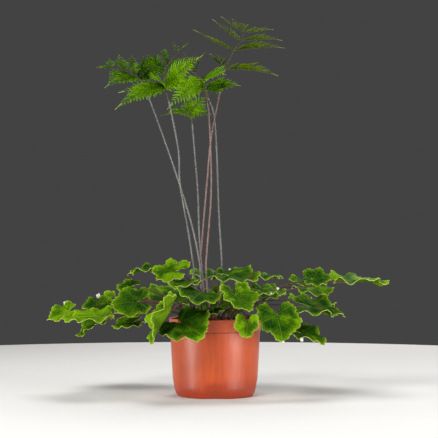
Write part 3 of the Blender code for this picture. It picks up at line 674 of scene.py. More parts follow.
def spread_copies(name, shape, places):
    """One mesh of copies of a template, each given as (matrix, sideways bend, tone)."""
    points, faces = shape
    verts = []
    loops = []
    tones = []
    for number, (matrix, bend, tone) in enumerate(places):
        local = points.copy()
        local[:, 1] += bend * local[:, 0] ** 2
        turn = np.array(matrix)
        verts.append(local @ turn[:3, :3].T + turn[:3, 3])
        loops += [tuple(i + number * len(points) for i in face) for face in faces]
        tones.append(tone + TONE_RISE * (points[:, 0] - 0.5))
    mesh = bpy.data.meshes.new(name)
    mesh.from_pydata(np.concatenate(verts).tolist(), [], loops)
    tone_layer = mesh.attributes.new("tone", "FLOAT", "POINT")
    tone_layer.data.foreach_set("value", np.concatenate(tones).astype(np.float32))
    piece = bpy.data.objects.new(name, mesh)
    bpy.context.scene.collection.objects.link(piece)
    return piece


def axes_matrix(place, ahead, up, scale=1.0):
    """A matrix that puts a template's X along ahead and its Z as near to up as it goes."""
    x = ahead.normalized()
    y = up.cross(x).normalized()
    z = x.cross(y)
    turn = Matrix((x, y, z)).transposed() * scale
    return Matrix.Translation(place) @ turn.to_4x4()


def grid_template(name, columns, rows, place, thickness):
    """A small closed blade: a grid whose points place(u, v) sets, u from 0 to 1, v from -1 to 1."""
    blade = added(bpy.ops.mesh.primitive_grid_add, name, x_subdivisions=columns,
                  y_subdivisions=rows, size=2, location=(0, 0, 0))
    move_vertices(blade, lambda co: Vector(place((co.x + 1) / 2, co.y)))
    shell = blade.modifiers.new("thickness", "SOLIDIFY")
    shell.thickness = thickness
    shell.offset = 0
    apply_modifiers(blade)
    return blade


def add_node(tree, kind, values=None, **settings):
    """Add a node, set its properties, and set or join its inputs by name or number."""
    node = tree.nodes.new(kind)
    for key, value in settings.items():
        setattr(node, key, value)
    for key, value in (values or {}).items():
        if isinstance(value, bpy.types.NodeSocket):
            tree.links.new(value, node.inputs[key])
        else:
            node.inputs[key].default_value = value
    return node


def calculate(tree, operation, first, second=0.0, clamp=False):
    """The result of one sum on two numbers or sockets."""
    return add_node(tree, "ShaderNodeMath", {0: first, 1: second}, operation=operation,
                    use_clamp=clamp).outputs[0]


def fade(tree, value, start, stop):
    """0 at start, 1 at stop and a smooth step between."""
    return add_node(tree, "ShaderNodeMapRange", {"Value": value, 1: start, 2: stop},
                    interpolation_type="SMOOTHSTEP").outputs[0]


def mix_colours(tree, share, first, second):
    """The first colour at 0 and the second at 1."""
    first, second = (colour if isinstance(colour, bpy.types.NodeSocket) else (*colour, 1)
                     for colour in (first, second))
    return add_node(tree, "ShaderNodeMix", {0: share, 6: first, 7: second},
                    data_type="RGBA").outputs[2]


def times(tree, first, second):
    """The product of two numbers or sockets."""
    return calculate(tree, "MULTIPLY", first, second)


def plus(tree, first, second, clamp=False):
    """The sum of two numbers or sockets."""
    return calculate(tree, "ADD", first, second, clamp)


def sway(tree, mask, reach):
    """A mask's blotches as a change both ways: half the reach down to half the reach up."""
    return times(tree, calculate(tree, "SUBTRACT", mask, 0.5), reach)


def shared_group(name, inputs, outputs, lay_out):
    """The node group of that name, made when it is first asked for.

    It takes a Vector and the named numbers, with their defaults, and puts out the named numbers.
    """
    if name in bpy.data.node_groups:
        return bpy.data.node_groups[name]
    group = bpy.data.node_groups.new(name, "ShaderNodeTree")
    group.interface.new_socket("Vector", in_out="INPUT", socket_type="NodeSocketVector")
    for socket, default in inputs.items():
        made = group.interface.new_socket(socket, in_out="INPUT", socket_type="NodeSocketFloat")
        made.default_value = default
    for socket in outputs:
        group.interface.new_socket(socket, in_out="OUTPUT", socket_type="NodeSocketFloat")
    ins = group.nodes.new("NodeGroupInput").outputs
    outs = group.nodes.new("NodeGroupOutput").inputs
    for socket, value in zip(outputs, lay_out(group, ins)):
        group.links.new(value, outs[socket])
    return group


def lay_out_blotches(group, ins):
    """A noise cut to soft patches."""
    patches = add_node(group, "ShaderNodeTexNoise", {"Vector": ins["Vector"], "Scale": ins["Scale"],
                                                     "Detail": 4.0})
    low = calculate(group, "SUBTRACT", 0.5, ins["Contrast"])
    high = plus(group, 0.5, ins["Contrast"])
    return [fade(group, patches.outputs[0], low, high)]


def blotches(tree, place, scale, contrast):
    """Soft irregular blotches, as a mask from 0 to 1."""
    group = shared_group("Blotches", {"Scale": 100.0, "Contrast": 0.15}, ["Mask"], lay_out_blotches)
    return add_node(tree, "ShaderNodeGroup", {"Vector": place, "Scale": scale, "Contrast": contrast},
                    node_tree=group).outputs[0]


def lay_out_grain(group, ins):
    """A coarse and a fine noise together."""
    heights = []
    for scale, weight in (("Coarse", 0.65), ("Fine", 0.35)):
        bumps = add_node(group, "ShaderNodeTexNoise", {"Vector": ins["Vector"], "Scale": ins[scale],
                                                       "Detail": 3.0})
        heights.append(times(group, bumps.outputs[0], weight))
    return [plus(group, *heights)]


def grain(tree, place, coarse, fine):
    """A surface's fine relief, as a height."""
    group = shared_group("Grain", {"Coarse": 300.0, "Fine": 1500.0}, ["Height"], lay_out_grain)
    return add_node(tree, "ShaderNodeGroup", {"Vector": place, "Coarse": coarse, "Fine": fine},
                    node_tree=group).outputs[0]


def lay_out_specks(group, ins):
    """Round dots in a share of a Voronoi pattern's cells."""
    cells = add_node(group, "ShaderNodeTexVoronoi", {"Vector": ins["Vector"], "Scale": ins["Scale"]})
    lot = add_node(group, "ShaderNodeSeparateColor", {0: cells.outputs["Color"]}).outputs[0]
    chosen = calculate(group, "LESS_THAN", lot, ins["Share"])
    return [times(group, chosen, fade(group, cells.outputs["Distance"], 0.34, 0.18))]


def specks(tree, place, scale, share):
    """Small scattered round specks, as a mask from 0 to 1."""
    group = shared_group("Specks", {"Scale": 200.0, "Share": 0.2}, ["Mask"], lay_out_specks)
    return add_node(tree, "ShaderNodeGroup", {"Vector": place, "Scale": scale, "Share": share},
                    node_tree=group).outputs[0]


def lay_out_veins(group, ins):
    """Veins from a point's place on the blade: lobes round the stem, mm from it, mm to the edge."""
    place = add_node(group, "ShaderNodeSeparateXYZ", {0: ins["Vector"]})
    lobes_round, from_stem, to_edge = place.outputs
    lobe = calculate(group, "PINGPONG", lobes_round, 0.5)
    across = times(group, times(group, lobe, LOBE_PITCH), from_stem)
    chevron = calculate(group, "SUBTRACT", from_stem, times(group, across, SIDE_VEIN_SLOPE))
    turns = calculate(group, "DIVIDE", chevron, SIDE_VEIN_SPACING / MM)
    main_vein = fade(group, across, 0.75, 0.2)
    side_vein = fade(group, calculate(group, "PINGPONG", turns, 0.5), 0.09, 0.02)
    # Painted shade in the valleys between the lobes, growing away from the stem.
    painted_valley_shade = times(group, fade(group, lobe, 0.30, 0.5), fade(group, from_stem, 5.0, 20.0))
    return [main_vein, side_vein, to_edge, painted_valley_shade]


def leaf_veins(tree, place):
    """A lobed blade's main veins, side veins, mm to the edge, and painted shade between its lobes."""
    group = shared_group("Leaf Veins", {}, ["Main", "Side", "Edge", "Valley"], lay_out_veins)
    return add_node(tree, "ShaderNodeGroup", {"Vector": place}, node_tree=group).outputs


def shade_of(colour, share):
    """The colour with its brightness multiplied by the share."""
    return [part * share for part in colour]


def new_finish(name, roughness, specular=0.5):
    """A material with its Principled shader: (material, tree, shader, object coordinates)."""
    finish = bpy.data.materials.new(name)
    finish.use_nodes = True
    tree = finish.node_tree
    shader = tree.nodes["Principled BSDF"]
    shader.inputs["Roughness"].default_value = roughness
    shader.inputs["Specular IOR Level"].default_value = specular
    place = add_node(tree, "ShaderNodeTexCoord").outputs["Object"]
    return finish, tree, shader, place


def paint(tree, shader, colour):
    """Give the shader its colour."""
    tree.links.new(colour, shader.inputs["Base Color"])


def bump(tree, shader, height, distance, strength=1.0):
    """Give the shader a relief."""
    relief = add_node(tree, "ShaderNodeBump", {"Height": height, "Distance": distance,
                                               "Strength": strength})
    tree.links.new(relief.outputs[0], shader.inputs["Normal"])


def attribute(tree, name, output="Fac"):
    """The value of a piece's own attribute."""
    return add_node(tree, "ShaderNodeAttribute", attribute_name=name).outputs[output]


def drawn_out(tree, place, share):
    """Coordinates with their height cut to that share, which draws a pattern out upright."""
    return add_node(tree, "ShaderNodeMapping", {"Vector": place, "Scale": (1, 1, share)}).outputs[0]


def pot_finish(pot):
    """Moulded terracotta plastic: faint streaks and clouds, collar rings, dried splashes and painted
    shade.
    """
    finish, tree, shader, place = new_finish("terracotta_plastic_finish", 0.3)
    height = add_node(tree, "ShaderNodeSeparateXYZ", {0: place}).outputs[2]
    collar_foot = POT_HIGH.z - pot.collar_depth
    on_collar = calculate(tree, "GREATER_THAN", height, collar_foot)
    streaks = blotches(tree, drawn_out(tree, place, 0.12), scale=180.0, contrast=0.2)
    broad = blotches(tree, place, scale=22.0, contrast=0.25)
    # Painted shade: the plastic darkens towards the foot.
    foot = fade(tree, height, PAINTED_FOOT_SHADE_TOP, PAINTED_FOOT_SHADE_FULL)
    # Painted shade in the drainage recesses: the deep plastic colour with a little of the dust colour.
    pressed = fade(tree, attribute(tree, "recess"), 0.02, 0.6)
    shade = plus(tree, times(tree, plus(tree, streaks, broad), 0.34), times(tree, foot, 0.9))
    shade = plus(tree, shade, times(tree, pressed, 0.9), clamp=True)
    colour = mix_colours(tree, shade, pot.colour, pot.shade)
    colour = mix_colours(tree, times(tree, pressed, 0.12), colour, pot.dust_and_painted_shade)
    # Painted shadow: a dark line under the collar's step.
    off_collar_step = calculate(tree, "ABSOLUTE", calculate(tree, "SUBTRACT", height, collar_foot))
    painted_step_shadow = fade(tree, off_collar_step, PAINTED_STEP_SHADOW_REACH, PAINTED_STEP_SHADOW_CORE)
    colour = mix_colours(tree, times(tree, painted_step_shadow, 0.8), colour, shade_of(pot.shade, 0.5))
    dusty = plus(tree, times(tree, foot, 0.55), 0.30)
    splash = times(tree, specks(tree, place, scale=190.0, share=0.10), dusty)
    colour = mix_colours(tree, splash, colour, pot.dust_and_painted_shade)
    # Painted shade on the inside of the collar above the soil, in the dust colour.
    reach = add_node(tree, "ShaderNodeVectorMath", {0: drawn_out(tree, place, 0)},
                     operation="LENGTH").outputs["Value"]
    inside = calculate(tree, "LESS_THAN", reach, pot.collar_radius - 0.7 * pot.wall)
    painted_inner_shade = times(tree, times(tree, inside, on_collar), 0.85)
    paint(tree, shader, mix_colours(tree, painted_inner_shade, colour, pot.dust_and_painted_shade))
    rings = add_node(tree, "ShaderNodeTexWave", {"Vector": place, "Scale": 130.0},
                     bands_direction="Z").outputs[1]
    rings = times(tree, rings, times(tree, on_collar, 0.5))
    moulding = plus(tree, grain(tree, place, coarse=260.0, fine=1400.0), rings)
    bump(tree, shader, moulding, 0.15 * MM, 0.5)
    rough = plus(tree, times(tree, broad, 0.08), 0.34)
    tree.links.new(rough, shader.inputs["Roughness"])
    return finish


def earth_finish(name, dark, light, scale=420.0):
    """Damp crumbly matter in two tones."""
    finish, tree, shader, place = new_finish(name, 0.92, 0.2)
    damp = blotches(tree, place, scale, contrast=0.12)
    paint(tree, shader, mix_colours(tree, damp, dark, light))
    bump(tree, shader, grain(tree, place, coarse=700.0, fine=2400.0), 0.5 * MM)
    return finish


def tone_finish(name, low, high, roughness, pale=None):
    """A finish that goes from one colour to another with the piece's own tone attribute.

    Where the tone is well over 1 it goes on to the pale colour, if there is one.
    """
    finish, tree, shader, place = new_finish(name, roughness, 0.0)
    tone = attribute(tree, "tone")
    patchy = sway(tree, blotches(tree, place, scale=260.0, contrast=0.2), 0.3)
    colour = mix_colours(tree, plus(tree, tone, patchy, clamp=True), low, high)
    if pale:
        colour = mix_colours(tree, fade(tree, tone, 1.2, 1.8), colour, pale)
    paint(tree, shader, colour)
    bump(tree, shader, grain(tree, place, coarse=900.0, fine=3000.0), 0.12 * MM, 0.6)
    return finish


def stalk_finish(name, colour, pale):
    """A stem's skin: fine lengthwise streaks, paler where old hairs lie flat on it."""
    finish, tree, shader, place = new_finish(name, 0.7, 0.2)
    streaks = blotches(tree, drawn_out(tree, place, 0.25), scale=900.0, contrast=0.12)
    bands = blotches(tree, place, scale=160.0, contrast=0.15)
    share = times(tree, plus(tree, streaks, bands), 0.5)
    paint(tree, shader, mix_colours(tree, share, colour, pale))
    bump(tree, shader, streaks, 0.2 * MM, 0.6)
    return finish


def blade_finish(name, leaf, upper):
    """A lobed blade's skin: veins, blotches and a pale border; paler and duller from below."""
    roughness, specular = (0.55, 0.015) if upper else (0.7, 0.0)
    finish, tree, shader, place = new_finish(name, roughness, specular)
    main_vein, side_vein, to_edge, painted_valley_shade = leaf_veins(tree, attribute(tree, "blade_place", "Vector"))
    broad = blotches(tree, place, scale=55.0, contrast=0.2)
    fine = blotches(tree, place, scale=300.0, contrast=0.2)
    patchy = plus(tree, sway(tree, broad, 0.7), sway(tree, fine, 0.16))
    tone = plus(tree, attribute(tree, "tone"), patchy)
    green = mix_colours(tree, fade(tree, tone, 0.0, 0.5), leaf.deep, leaf.mid)
    green = mix_colours(tree, fade(tree, tone, 0.5, 1.0), green, leaf.bright)
    # Painted shade: the valleys between the lobes go towards the deepest green.
    green = mix_colours(tree, times(tree, painted_valley_shade, 0.45), green, leaf.deep)
    if not upper:
        green = mix_colours(tree, 0.4, green, leaf.underside)
    lines = calculate(tree, "MAXIMUM", main_vein, times(tree, side_vein, 0.6))
    green = mix_colours(tree, times(tree, lines, 0.25), green, leaf.margin)
    edge = plus(tree, to_edge, sway(tree, fine, 1.6))
    glow = times(tree, fade(tree, edge, 8.0, 0.8), 0.4)
    green = mix_colours(tree, glow, green, leaf.bright)
    # The pale border fades with the leaf's tone, so it is faint on the dark leaves, whose tone partly
    # paints shade.
    young = plus(tree, times(tree, fade(tree, tone, -0.1, 0.9), 0.65), 0.2)
    border = times(tree, fade(tree, edge, 2.4, 0.5), young)
    green = mix_colours(tree, border, green, leaf.margin)
    spots = times(tree, specks(tree, place, scale=42.0, share=0.10), 0.55)
    paint(tree, shader, mix_colours(tree, spots, green, leaf.rust))
    skin = times(tree, grain(tree, place, coarse=500.0, fine=1800.0), 0.6)
    relief = calculate(tree, "SUBTRACT" if upper else "ADD", skin, lines)
    bump(tree, shader, relief, 0.25 * MM, 0.7)
    return finish


def plain_finish(name, colour, roughness):
    """A matt finish with very faint clouds."""
    finish, tree, shader, place = new_finish(name, roughness, 0.1)
    clouds = blotches(tree, place, scale=3.0, contrast=0.3)
    paint(tree, shader, mix_colours(tree, clouds, colour, shade_of(colour, 0.96)))
    return finish


def recess(point):
    """How deep the pot's foot is pressed in at a point, as a share of its drainage recesses' depth."""
    inner = math.hypot(point.x, point.y) < FOOT_RADIUS * FOOT_DENT_INNER_SHARE
    if inner or point.z > FOOT_DENT_HEIGHT:
        return 0.0
    pitch = 2 * math.pi / FOOT_DENTS
    angle = (math.atan2(point.y, point.x) + math.pi / 2 + pitch / 2) % pitch - pitch / 2
    across = max(0.0, 1 - (angle / FOOT_DENT_HALF_ANGLE) ** 2) ** 1.5
    return across * (1 - point.z / FOOT_DENT_HEIGHT)


def dent(point):
    """Push a point of the pot's foot inwards at each of its drainage recesses."""
    reach = math.hypot(point.x, point.y)
    shrink = 1 - FOOT_DENT_DEPTH * recess(point) / max(reach, FOOT_DENT_DEPTH)
    return Vector((point.x * shrink, point.y * shrink, point.z))


def inner_radius(pot, height):
    """Inside radius of the pot's wall between its foot and its collar."""
    top = POT_HIGH.z - pot.collar_depth
    share = (height - FOOT_HEIGHT) / (top - FOOT_HEIGHT)
    shoulder = pot.collar_radius - COLLAR_STEP
    return SHOULDER_FOOT_RADIUS + (shoulder - SHOULDER_FOOT_RADIUS) * share - pot.wall


def pot_profile(pot):
    """The pot's outline as (radius, height): outside up to the rim, then down inside to the floor."""
    collar_foot = POT_HIGH.z - pot.collar_depth
    shoulder = pot.collar_radius - COLLAR_STEP
    bead = (RIM_BEAD + pot.wall) / 2
    bead_centre = (pot.collar_radius + RIM_BEAD - bead, POT_HIGH.z - bead)
    chamfer = (SHOULDER_FOOT_RADIUS - FOOT_CHAMFER, FOOT_HEIGHT * 0.45)
    outside = [(FLOOR_MIDDLE, 0), (FOOT_RADIUS * 0.9, 0), (FOOT_RADIUS - FOOT_ROUNDING, 0)]
    outside += arc((FOOT_RADIUS - FOOT_ROUNDING, FOOT_ROUNDING), FOOT_ROUNDING, -60, -20, 2)
    outside += [chamfer, (SHOULDER_FOOT_RADIUS, FOOT_HEIGHT)]
    dent_top = (inner_radius(pot, FOOT_DENT_HEIGHT) + pot.wall, FOOT_DENT_HEIGHT)
    outside += straight(outside[-1], dent_top, 4)
    outside += straight(dent_top, (shoulder, collar_foot), 8)
    collar_turn = (pot.collar_radius - 1.5 * COLLAR_ROUNDING, collar_foot + COLLAR_ROUNDING)
    outside += arc(collar_turn, COLLAR_ROUNDING, -90, 0, 3)
    outside += [(pot.collar_radius, POT_HIGH.z - RIM_DEPTH)]
    rim = arc(bead_centre, bead, -40, 200, 12)
    wall_top = pot.collar_radius - pot.wall
    inside = [(wall_top, POT_HIGH.z - INNER_RIM_DEPTH),
              (wall_top - INNER_DRAFT, collar_foot + INNER_LEDGE),
              (inner_radius(pot, collar_foot), collar_foot)]
    inside += straight(inside[-1], (inner_radius(pot, FOOT_DENT_HEIGHT), FOOT_DENT_HEIGHT), 4)
    inside += straight(inside[-1], (inner_radius(pot, FOOT_HEIGHT), FOOT_HEIGHT), 2)
    inside += [(chamfer[0] - pot.wall, chamfer[1] + FOOT_ROUNDING),
               (FOOT_RADIUS - pot.wall, pot.wall), (FOOT_RADIUS * 0.85, pot.wall),
               (FLOOR_MIDDLE, pot.wall)]
    return outside + rim + inside


def build_pot(pot):
    """The pot, with drain holes cut through its floor."""
    piece = rings_up("pot_shell", pot_profile(pot), POT_SIDES)
    move_vertices(piece, dent)
    cutters = []
    for number in range(DRAIN_HOLES):
        angle = 2 * math.pi * (number + 0.5) / DRAIN_HOLES
        cutters.append(added(
            bpy.ops.mesh.primitive_cylinder_add, "drain_cutter", vertices=20, radius=DRAIN_RADIUS,
            depth=6 * pot.wall,
            location=(DRAIN_CIRCLE * math.cos(angle), DRAIN_CIRCLE * math.sin(angle), 0)))
    deselect_all()
    for cutter in cutters:
        cutter.select_set(True)
    bpy.context.view_layer.objects.active = cutters[0]
    bpy.ops.object.join()
    drill = bpy.context.object
    holes = piece.modifiers.new("drain_holes", "BOOLEAN")
    holes.operation = "DIFFERENCE"
    holes.object = drill
    apply_modifiers(piece)
    bpy.data.objects.remove(drill, do_unlink=True)
    # The recesses' depth at each point, from which the finish paints shade into them.
    layer = piece.data.attributes.new("recess", "FLOAT", "POINT")
    layer.data.foreach_set("value", [recess(vertex.co) for vertex in piece.data.vertices])
    smooth_shade(piece, 35)
    finish_piece(piece, [pot_finish(pot)], ("pot",))


def soil_surface(x, y, lump):
    """Height of the potting mix: a low mound with lumps and crumbs."""
    reach = min(1.0, math.hypot(x, y) / (POT_HIGH.x - RIM_BEAD))
    mound = SOIL_CROWN_RISE * (1 - reach ** 2)
    lumps = lump * noise.noise(Vector((x, y, 0)) / LUMP_SIZE)
    crumbs = 0.7 * lump * noise.noise(Vector((x, y, 0)) / CRUMB_SIZE)
    return SOIL_EDGE_HEIGHT + mound + (lumps + crumbs) * (1 - reach ** 4)


def strew_crumbs(name, count, size, colours, soil, draw):
    """Loose crumbs of one kind, all over the bed but where the crown stands."""
    template = added(bpy.ops.mesh.primitive_ico_sphere_add, "crumb", subdivisions=1, radius=1,
                     location=(0, 0, 0))
    move_vertices(template, lambda co: co * (1 + 0.35 * noise.noise(co * 1.7)))
    shape = take_shape(template)
    places = []
    while len(places) < count:
        reach = math.sqrt(draw.random()) * (SOIL_HIGH.x - BARE_RIM)
        angle = draw.uniform(0, 2 * math.pi)
        x, y = reach * math.cos(angle), reach * math.sin(angle)
        if ((x - CROWN_CENTRE.x) / CROWN_STRETCH) ** 2 + y ** 2 < CROWN_RADIUS ** 2:
            continue
        height = soil_surface(x, y, soil.lump) + 0.1 * size
        turn = Matrix.Rotation(draw.uniform(0, 6.3), 4, Vector(
            (draw.uniform(-1, 1), draw.uniform(-1, 1), 1)))
        flat = Matrix.Diagonal((draw.uniform(0.7, 1.3), draw.uniform(0.4, 0.9), 0.45, 1))
        grow = Matrix.Scale(size * draw.uniform(0.5, 1.1), 4)
        places.append((Matrix.Translation((x, y, height)) @ turn @ flat @ grow, 0, draw.random()))
    crumbs = spread_copies(name, shape, places)
    finish_piece(crumbs, [tone_finish(f"{name}_finish", *colours, 0.95)])


def build_soil(soil):
    """The bed of potting mix and its loose crumbs of peat, bark and perlite."""
    edge = SOIL_HIGH.x
    foot = (FOOT_RADIUS - FOOT_DENT_DEPTH - 3 * MM, SOIL_LOW.z)
    profile = [foot, (edge - 4 * MM, FOOT_DENT_HEIGHT), (edge, SOIL_EDGE_HEIGHT - 1 * MM)]
    profile += [(edge * (1 - step / SOIL_RINGS), SOIL_EDGE_HEIGHT) for step in range(1, SOIL_RINGS)]
    bed = rings_up("soil_bed", profile, SOIL_SIDES)

    def settle(point):
        """Lift a point of the bed's top to the lumpy surface."""
        if point.z > SOIL_EDGE_HEIGHT - 0.1 * MM:
            point.z = soil_surface(point.x, point.y, soil.lump)
        return point

    move_vertices(bed, settle)
    smooth_shade(bed, 60)
    peat = earth_finish("peat_finish", shade_of(soil.colour, 0.45), soil.colour)
    finish_piece(bed, [peat], ("potting_mix",))
    draw = random.Random(SEEDS["soil"])
    for name, count, size, colours in (
            ("soil_peat_crumbs", soil.crumbs, 1.5 * MM, (soil.colour, soil.bark)),
            ("soil_bark_bits", soil.crumbs // 3, 2.6 * MM, (soil.bark, shade_of(soil.bark, 1.7))),
            ("soil_perlite", soil.crumbs // 9, 1.3 * MM, PERLITE)):
        strew_crumbs(name, count, size, colours, soil, draw)


def crown_point(angle, rise):
    """A point of the crown's skin: rise is 0 at its bottom and 1 at its top."""
    dome = 1 - CROWN_BEND_START
    bend = math.pi / 2 * max(0.0, (rise - CROWN_BEND_START) / dome)
    reach = CROWN_RADIUS * (0.92 + 0.08 * min(1, rise / CROWN_BEND_START)) * math.cos(bend) ** 0.8
    height = CROWN_LOW.z + (CROWN_HIGH.z - CROWN_LOW.z) * (
        min(rise, CROWN_BEND_START) + dome * math.sin(bend)) * 0.97
    x = reach * math.cos(angle)
    y = reach * math.sin(angle)
    knob = 1
    if rise > CROWN_BEND_START:
        knob += CROWN_KNOBS * noise.noise(Vector((x, y, height)) / CROWN_KNOB_SIZE)
    return Vector((x * CROWN_STRETCH * knob + CROWN_CENTRE.x, y * knob, height))


def build_crown(crown):
    """The rhizome's crown and the papery scales that cover it."""
    profile = [(CROWN_RADIUS, step / CROWN_RINGS) for step in range(CROWN_RINGS)]
    body = rings_up("crown_body", profile, CROWN_SIDES)
    move_vertices(body, lambda co: crown_point(math.atan2(co.y, co.x), co.z))
    close_mesh(body)
    smooth_shade(body, 60)
    finish = earth_finish("rhizome_finish", shade_of(crown.colour, 0.45), crown.colour, 300.0)
    finish_piece(body, [finish], ("rhizome",))

    def papery(u, v):
        """Where a point of a scale goes: it is slim, tapers to its tip and arches along its length."""
        half = 0.17 * (1 - u) ** 0.6 * (0.5 + 0.5 * min(1, u / 0.3))
        return u, v * half, 0.12 * math.sin(math.pi * u) - 0.08 * abs(v)

    shape = take_shape(grid_template("scale", 5, 2, papery, 0.05))
    draw = random.Random(SEEDS["crown"])
    places = []
    for _ in range(crown.scales):
        rise = SCALES_START + SCALES_SPAN * math.sqrt(draw.random())
        angle = draw.uniform(0, 2 * math.pi)
        place = crown_point(angle, rise)
        ahead = crown_point(angle, min(0.99, rise + 0.06)) - place
        side = crown_point(angle + 0.1, rise) - place
        out = side.cross(ahead).normalized()
        lean = ahead.normalized() + out * draw.uniform(0.25, 0.9)
        lean += side.normalized() * draw.uniform(-0.5, 0.5)
        places.append((axes_matrix(place - out * 0.3 * MM, lean, out,
                                   crown.scale_length * draw.uniform(0.6, 1.2)),
                       draw.uniform(-0.2, 0.2), draw.random()))
    scales = spread_copies("crown_scales", shape, places)
    finish = tone_finish("scale_finish", crown.colour, crown.scale_colour, 0.6)
    finish_piece(scales, [finish])


def hairs_on(name, path, first, last, count, length, draw, shape):
    """Fine hairs standing out from a stem, leaning a little towards its top."""
    places = []
    for _ in range(count):
        share = draw.random()
        place = point_at(path, share)
        ahead = (point_at(path, min(1, share + 0.01)) - point_at(path, max(0, share - 0.01)))
        ahead.normalize()
        side = ahead.orthogonal().normalized()
        out = Matrix.Rotation(draw.uniform(0, 2 * math.pi), 3, ahead) @ side
        radius = first + (last - first) * share
        lean = out + ahead * draw.uniform(-0.2, 0.9)
        places.append((axes_matrix(place + out * radius * HAIR_SEAT, lean, ahead + out * 0.01,
                                   length * draw.uniform(0.5, 1.2)),
                       draw.uniform(-0.3, 0.3), draw.random()))
    return spread_copies(name, shape, places)


def hair_shape():
    """A hair a unit long, along +X: a slim three-sided cone."""
    template = added(bpy.ops.mesh.primitive_cone_add, "hair", vertices=3, radius1=HAIR_WIDTH,
                     depth=1, location=(0, 0, 0.5))
    bpy.ops.object.transform_apply(location=True)
    move_vertices(template, lambda co: Vector((co.z, co.x, co.y)))
    return take_shape(template)


def build_stalks(stalks):
    """The tall bare stalks and the hairs on them."""
    skins = {kind: stalk_finish(f"{kind}_stalk_finish", colour, shade_of(colour, 1.7))
             for kind, colour in (("grey", stalks.grey), ("pink", stalks.pink))}
    wool = tone_finish("hair_finish", shade_of(stalks.hair_colour, 0.55), stalks.hair_colour, 0.6)
    shape = hair_shape()
    draw = random.Random(SEEDS["stalks"])
    for number, (node, spec) in enumerate(FRONDS.items(), 1):
        over_soil = smooth_path(spec["stalk"])
        foot = Vector((over_soil[0].x, over_soil[0].y, CROWN_LOW.z + STALK_SINK))
        path = [foot, *over_soil]
        stalk = tubes(f"tall_stalk_{number}", [(path, stalks.foot_radius, stalks.tip_radius)], 10)
        finish_piece(stalk, [skins[spec["skin"]]], (f"{node}_stalk",))
        hairs = hairs_on(f"stalk_hairs_{number}", over_soil, stalks.foot_radius, stalks.tip_radius,
                         stalks.hairs, stalks.hair_length, draw, shape)
        finish_piece(hairs, [wool])


def pinnule_length(share, longest):
    """Length of the pinnules along a pinna: longest at a quarter, shortening to the tail."""
    if share < LONGEST_AT:
        return longest * (FIRST_SHARE + (1 - FIRST_SHARE) * share / LONGEST_AT)
    return longest * (1 - COMB_TAPER * ((share - LONGEST_AT) / (1 - LONGEST_AT)) ** 1.15)


def pinnule_shape(width, lobes):
    """A lobed pinnule a unit long, notched to half its width between its pairs of lobes."""
    columns = 2 * lobes

    def outline(u, v):
        """Where a point of the pinnule goes: full at a lobe's crest, narrow in a notch."""
        column = round(u * columns)
        full = width / 2 * (1 - u) ** 0.55 * (0.6 + 0.4 * min(1, u / 0.2))
        crest = column % 2 == 1
        half = full * (CREST_WIDTH if crest else NOTCH_WIDTH)
        if column == columns:
            half = PINNULE_TIP
        ahead = CREST_LEAN * abs(v) if crest else 0.0
        return min(1, u + ahead), v * half, PINNULE_DISH * abs(v) * half - PINNULE_DROOP * u ** 2

    return take_shape(grid_template("pinnule", columns, 2, outline, PINNULE_THICKNESS))


def quadratic(root, bend, tip, share):
    """The point and the direction at that share of a pinna's rib."""
    place = (1 - share) ** 2 * root + 2 * (1 - share) * share * bend + share ** 2 * tip
    along = (2 * (1 - share) * (bend - root) + 2 * share * (tip - bend)).normalized()
    return place, along


def pinna_places(curve, longest, tilt, fold, kind, spacing, tone, draw):
    """Where each pinnule of a pinna goes: (matrix, bend, tone). The longest are pinnae themselves."""
    sweep = PINNULE_SWEEPS[kind]
    stagger_share = STAGGER_SHARES[kind]
    root, bend, tip = curve
    up = Vector((0, math.sin(math.radians(tilt)), math.cos(math.radians(tilt))))
    length = sum((quadratic(root, bend, tip, (i + 1) / 8)[0]
                  - quadratic(root, bend, tip, i / 8)[0]).length for i in range(8))
    count = max(4, round(length * (1 - TAIL_SHARE) / spacing))
    places = []
    for number in range(count):
        comb = (number + 0.6) / count
        for side in (-1, 1):
            stagger = (number + 0.5 + side * stagger_share) / count
            place, along = quadratic(root, bend, tip, (1 - TAIL_SHARE) * stagger)
            across = up.cross(along).normalized()
            lift = along.cross(across)
            angle = fold + draw.uniform(-1, 1) * PINNULE_SWING
            outward = across * side * math.cos(angle) + lift * math.sin(angle)
            lean = sweep + draw.uniform(-1, 1) * PINNULE_SWING
            ahead = outward * math.sin(lean) + along * math.cos(lean)
            normal = lift * math.cos(angle) - across * side * math.sin(angle)
            size = pinnule_length(comb, longest) * FULLNESS[kind] * draw.uniform(0.92, 1.06)
            shade = tone + 0.3 * (comb - 0.4) + draw.uniform(-0.22, 0.22)
            if size > SUBDIVIDED_LENGTH and kind == "fresh_frond":
                places += lesser_pinna(place, ahead, normal, size, shade, draw)
            else:
                places.append((axes_matrix(place, ahead, normal, size),
                               PINNULE_BEND * -side, shade))
    place, along = quadratic(root, bend, tip, 1 - TAIL_SHARE * 1.3)
    across = up.cross(along).normalized()
    slim = Matrix.Diagonal((1, TIP_SLIMNESS, 1, 1))
    places.append((axes_matrix(place, tip - place, along.cross(across), (tip - place).length) @ slim,
                   0, tone + 1.1))
    return places


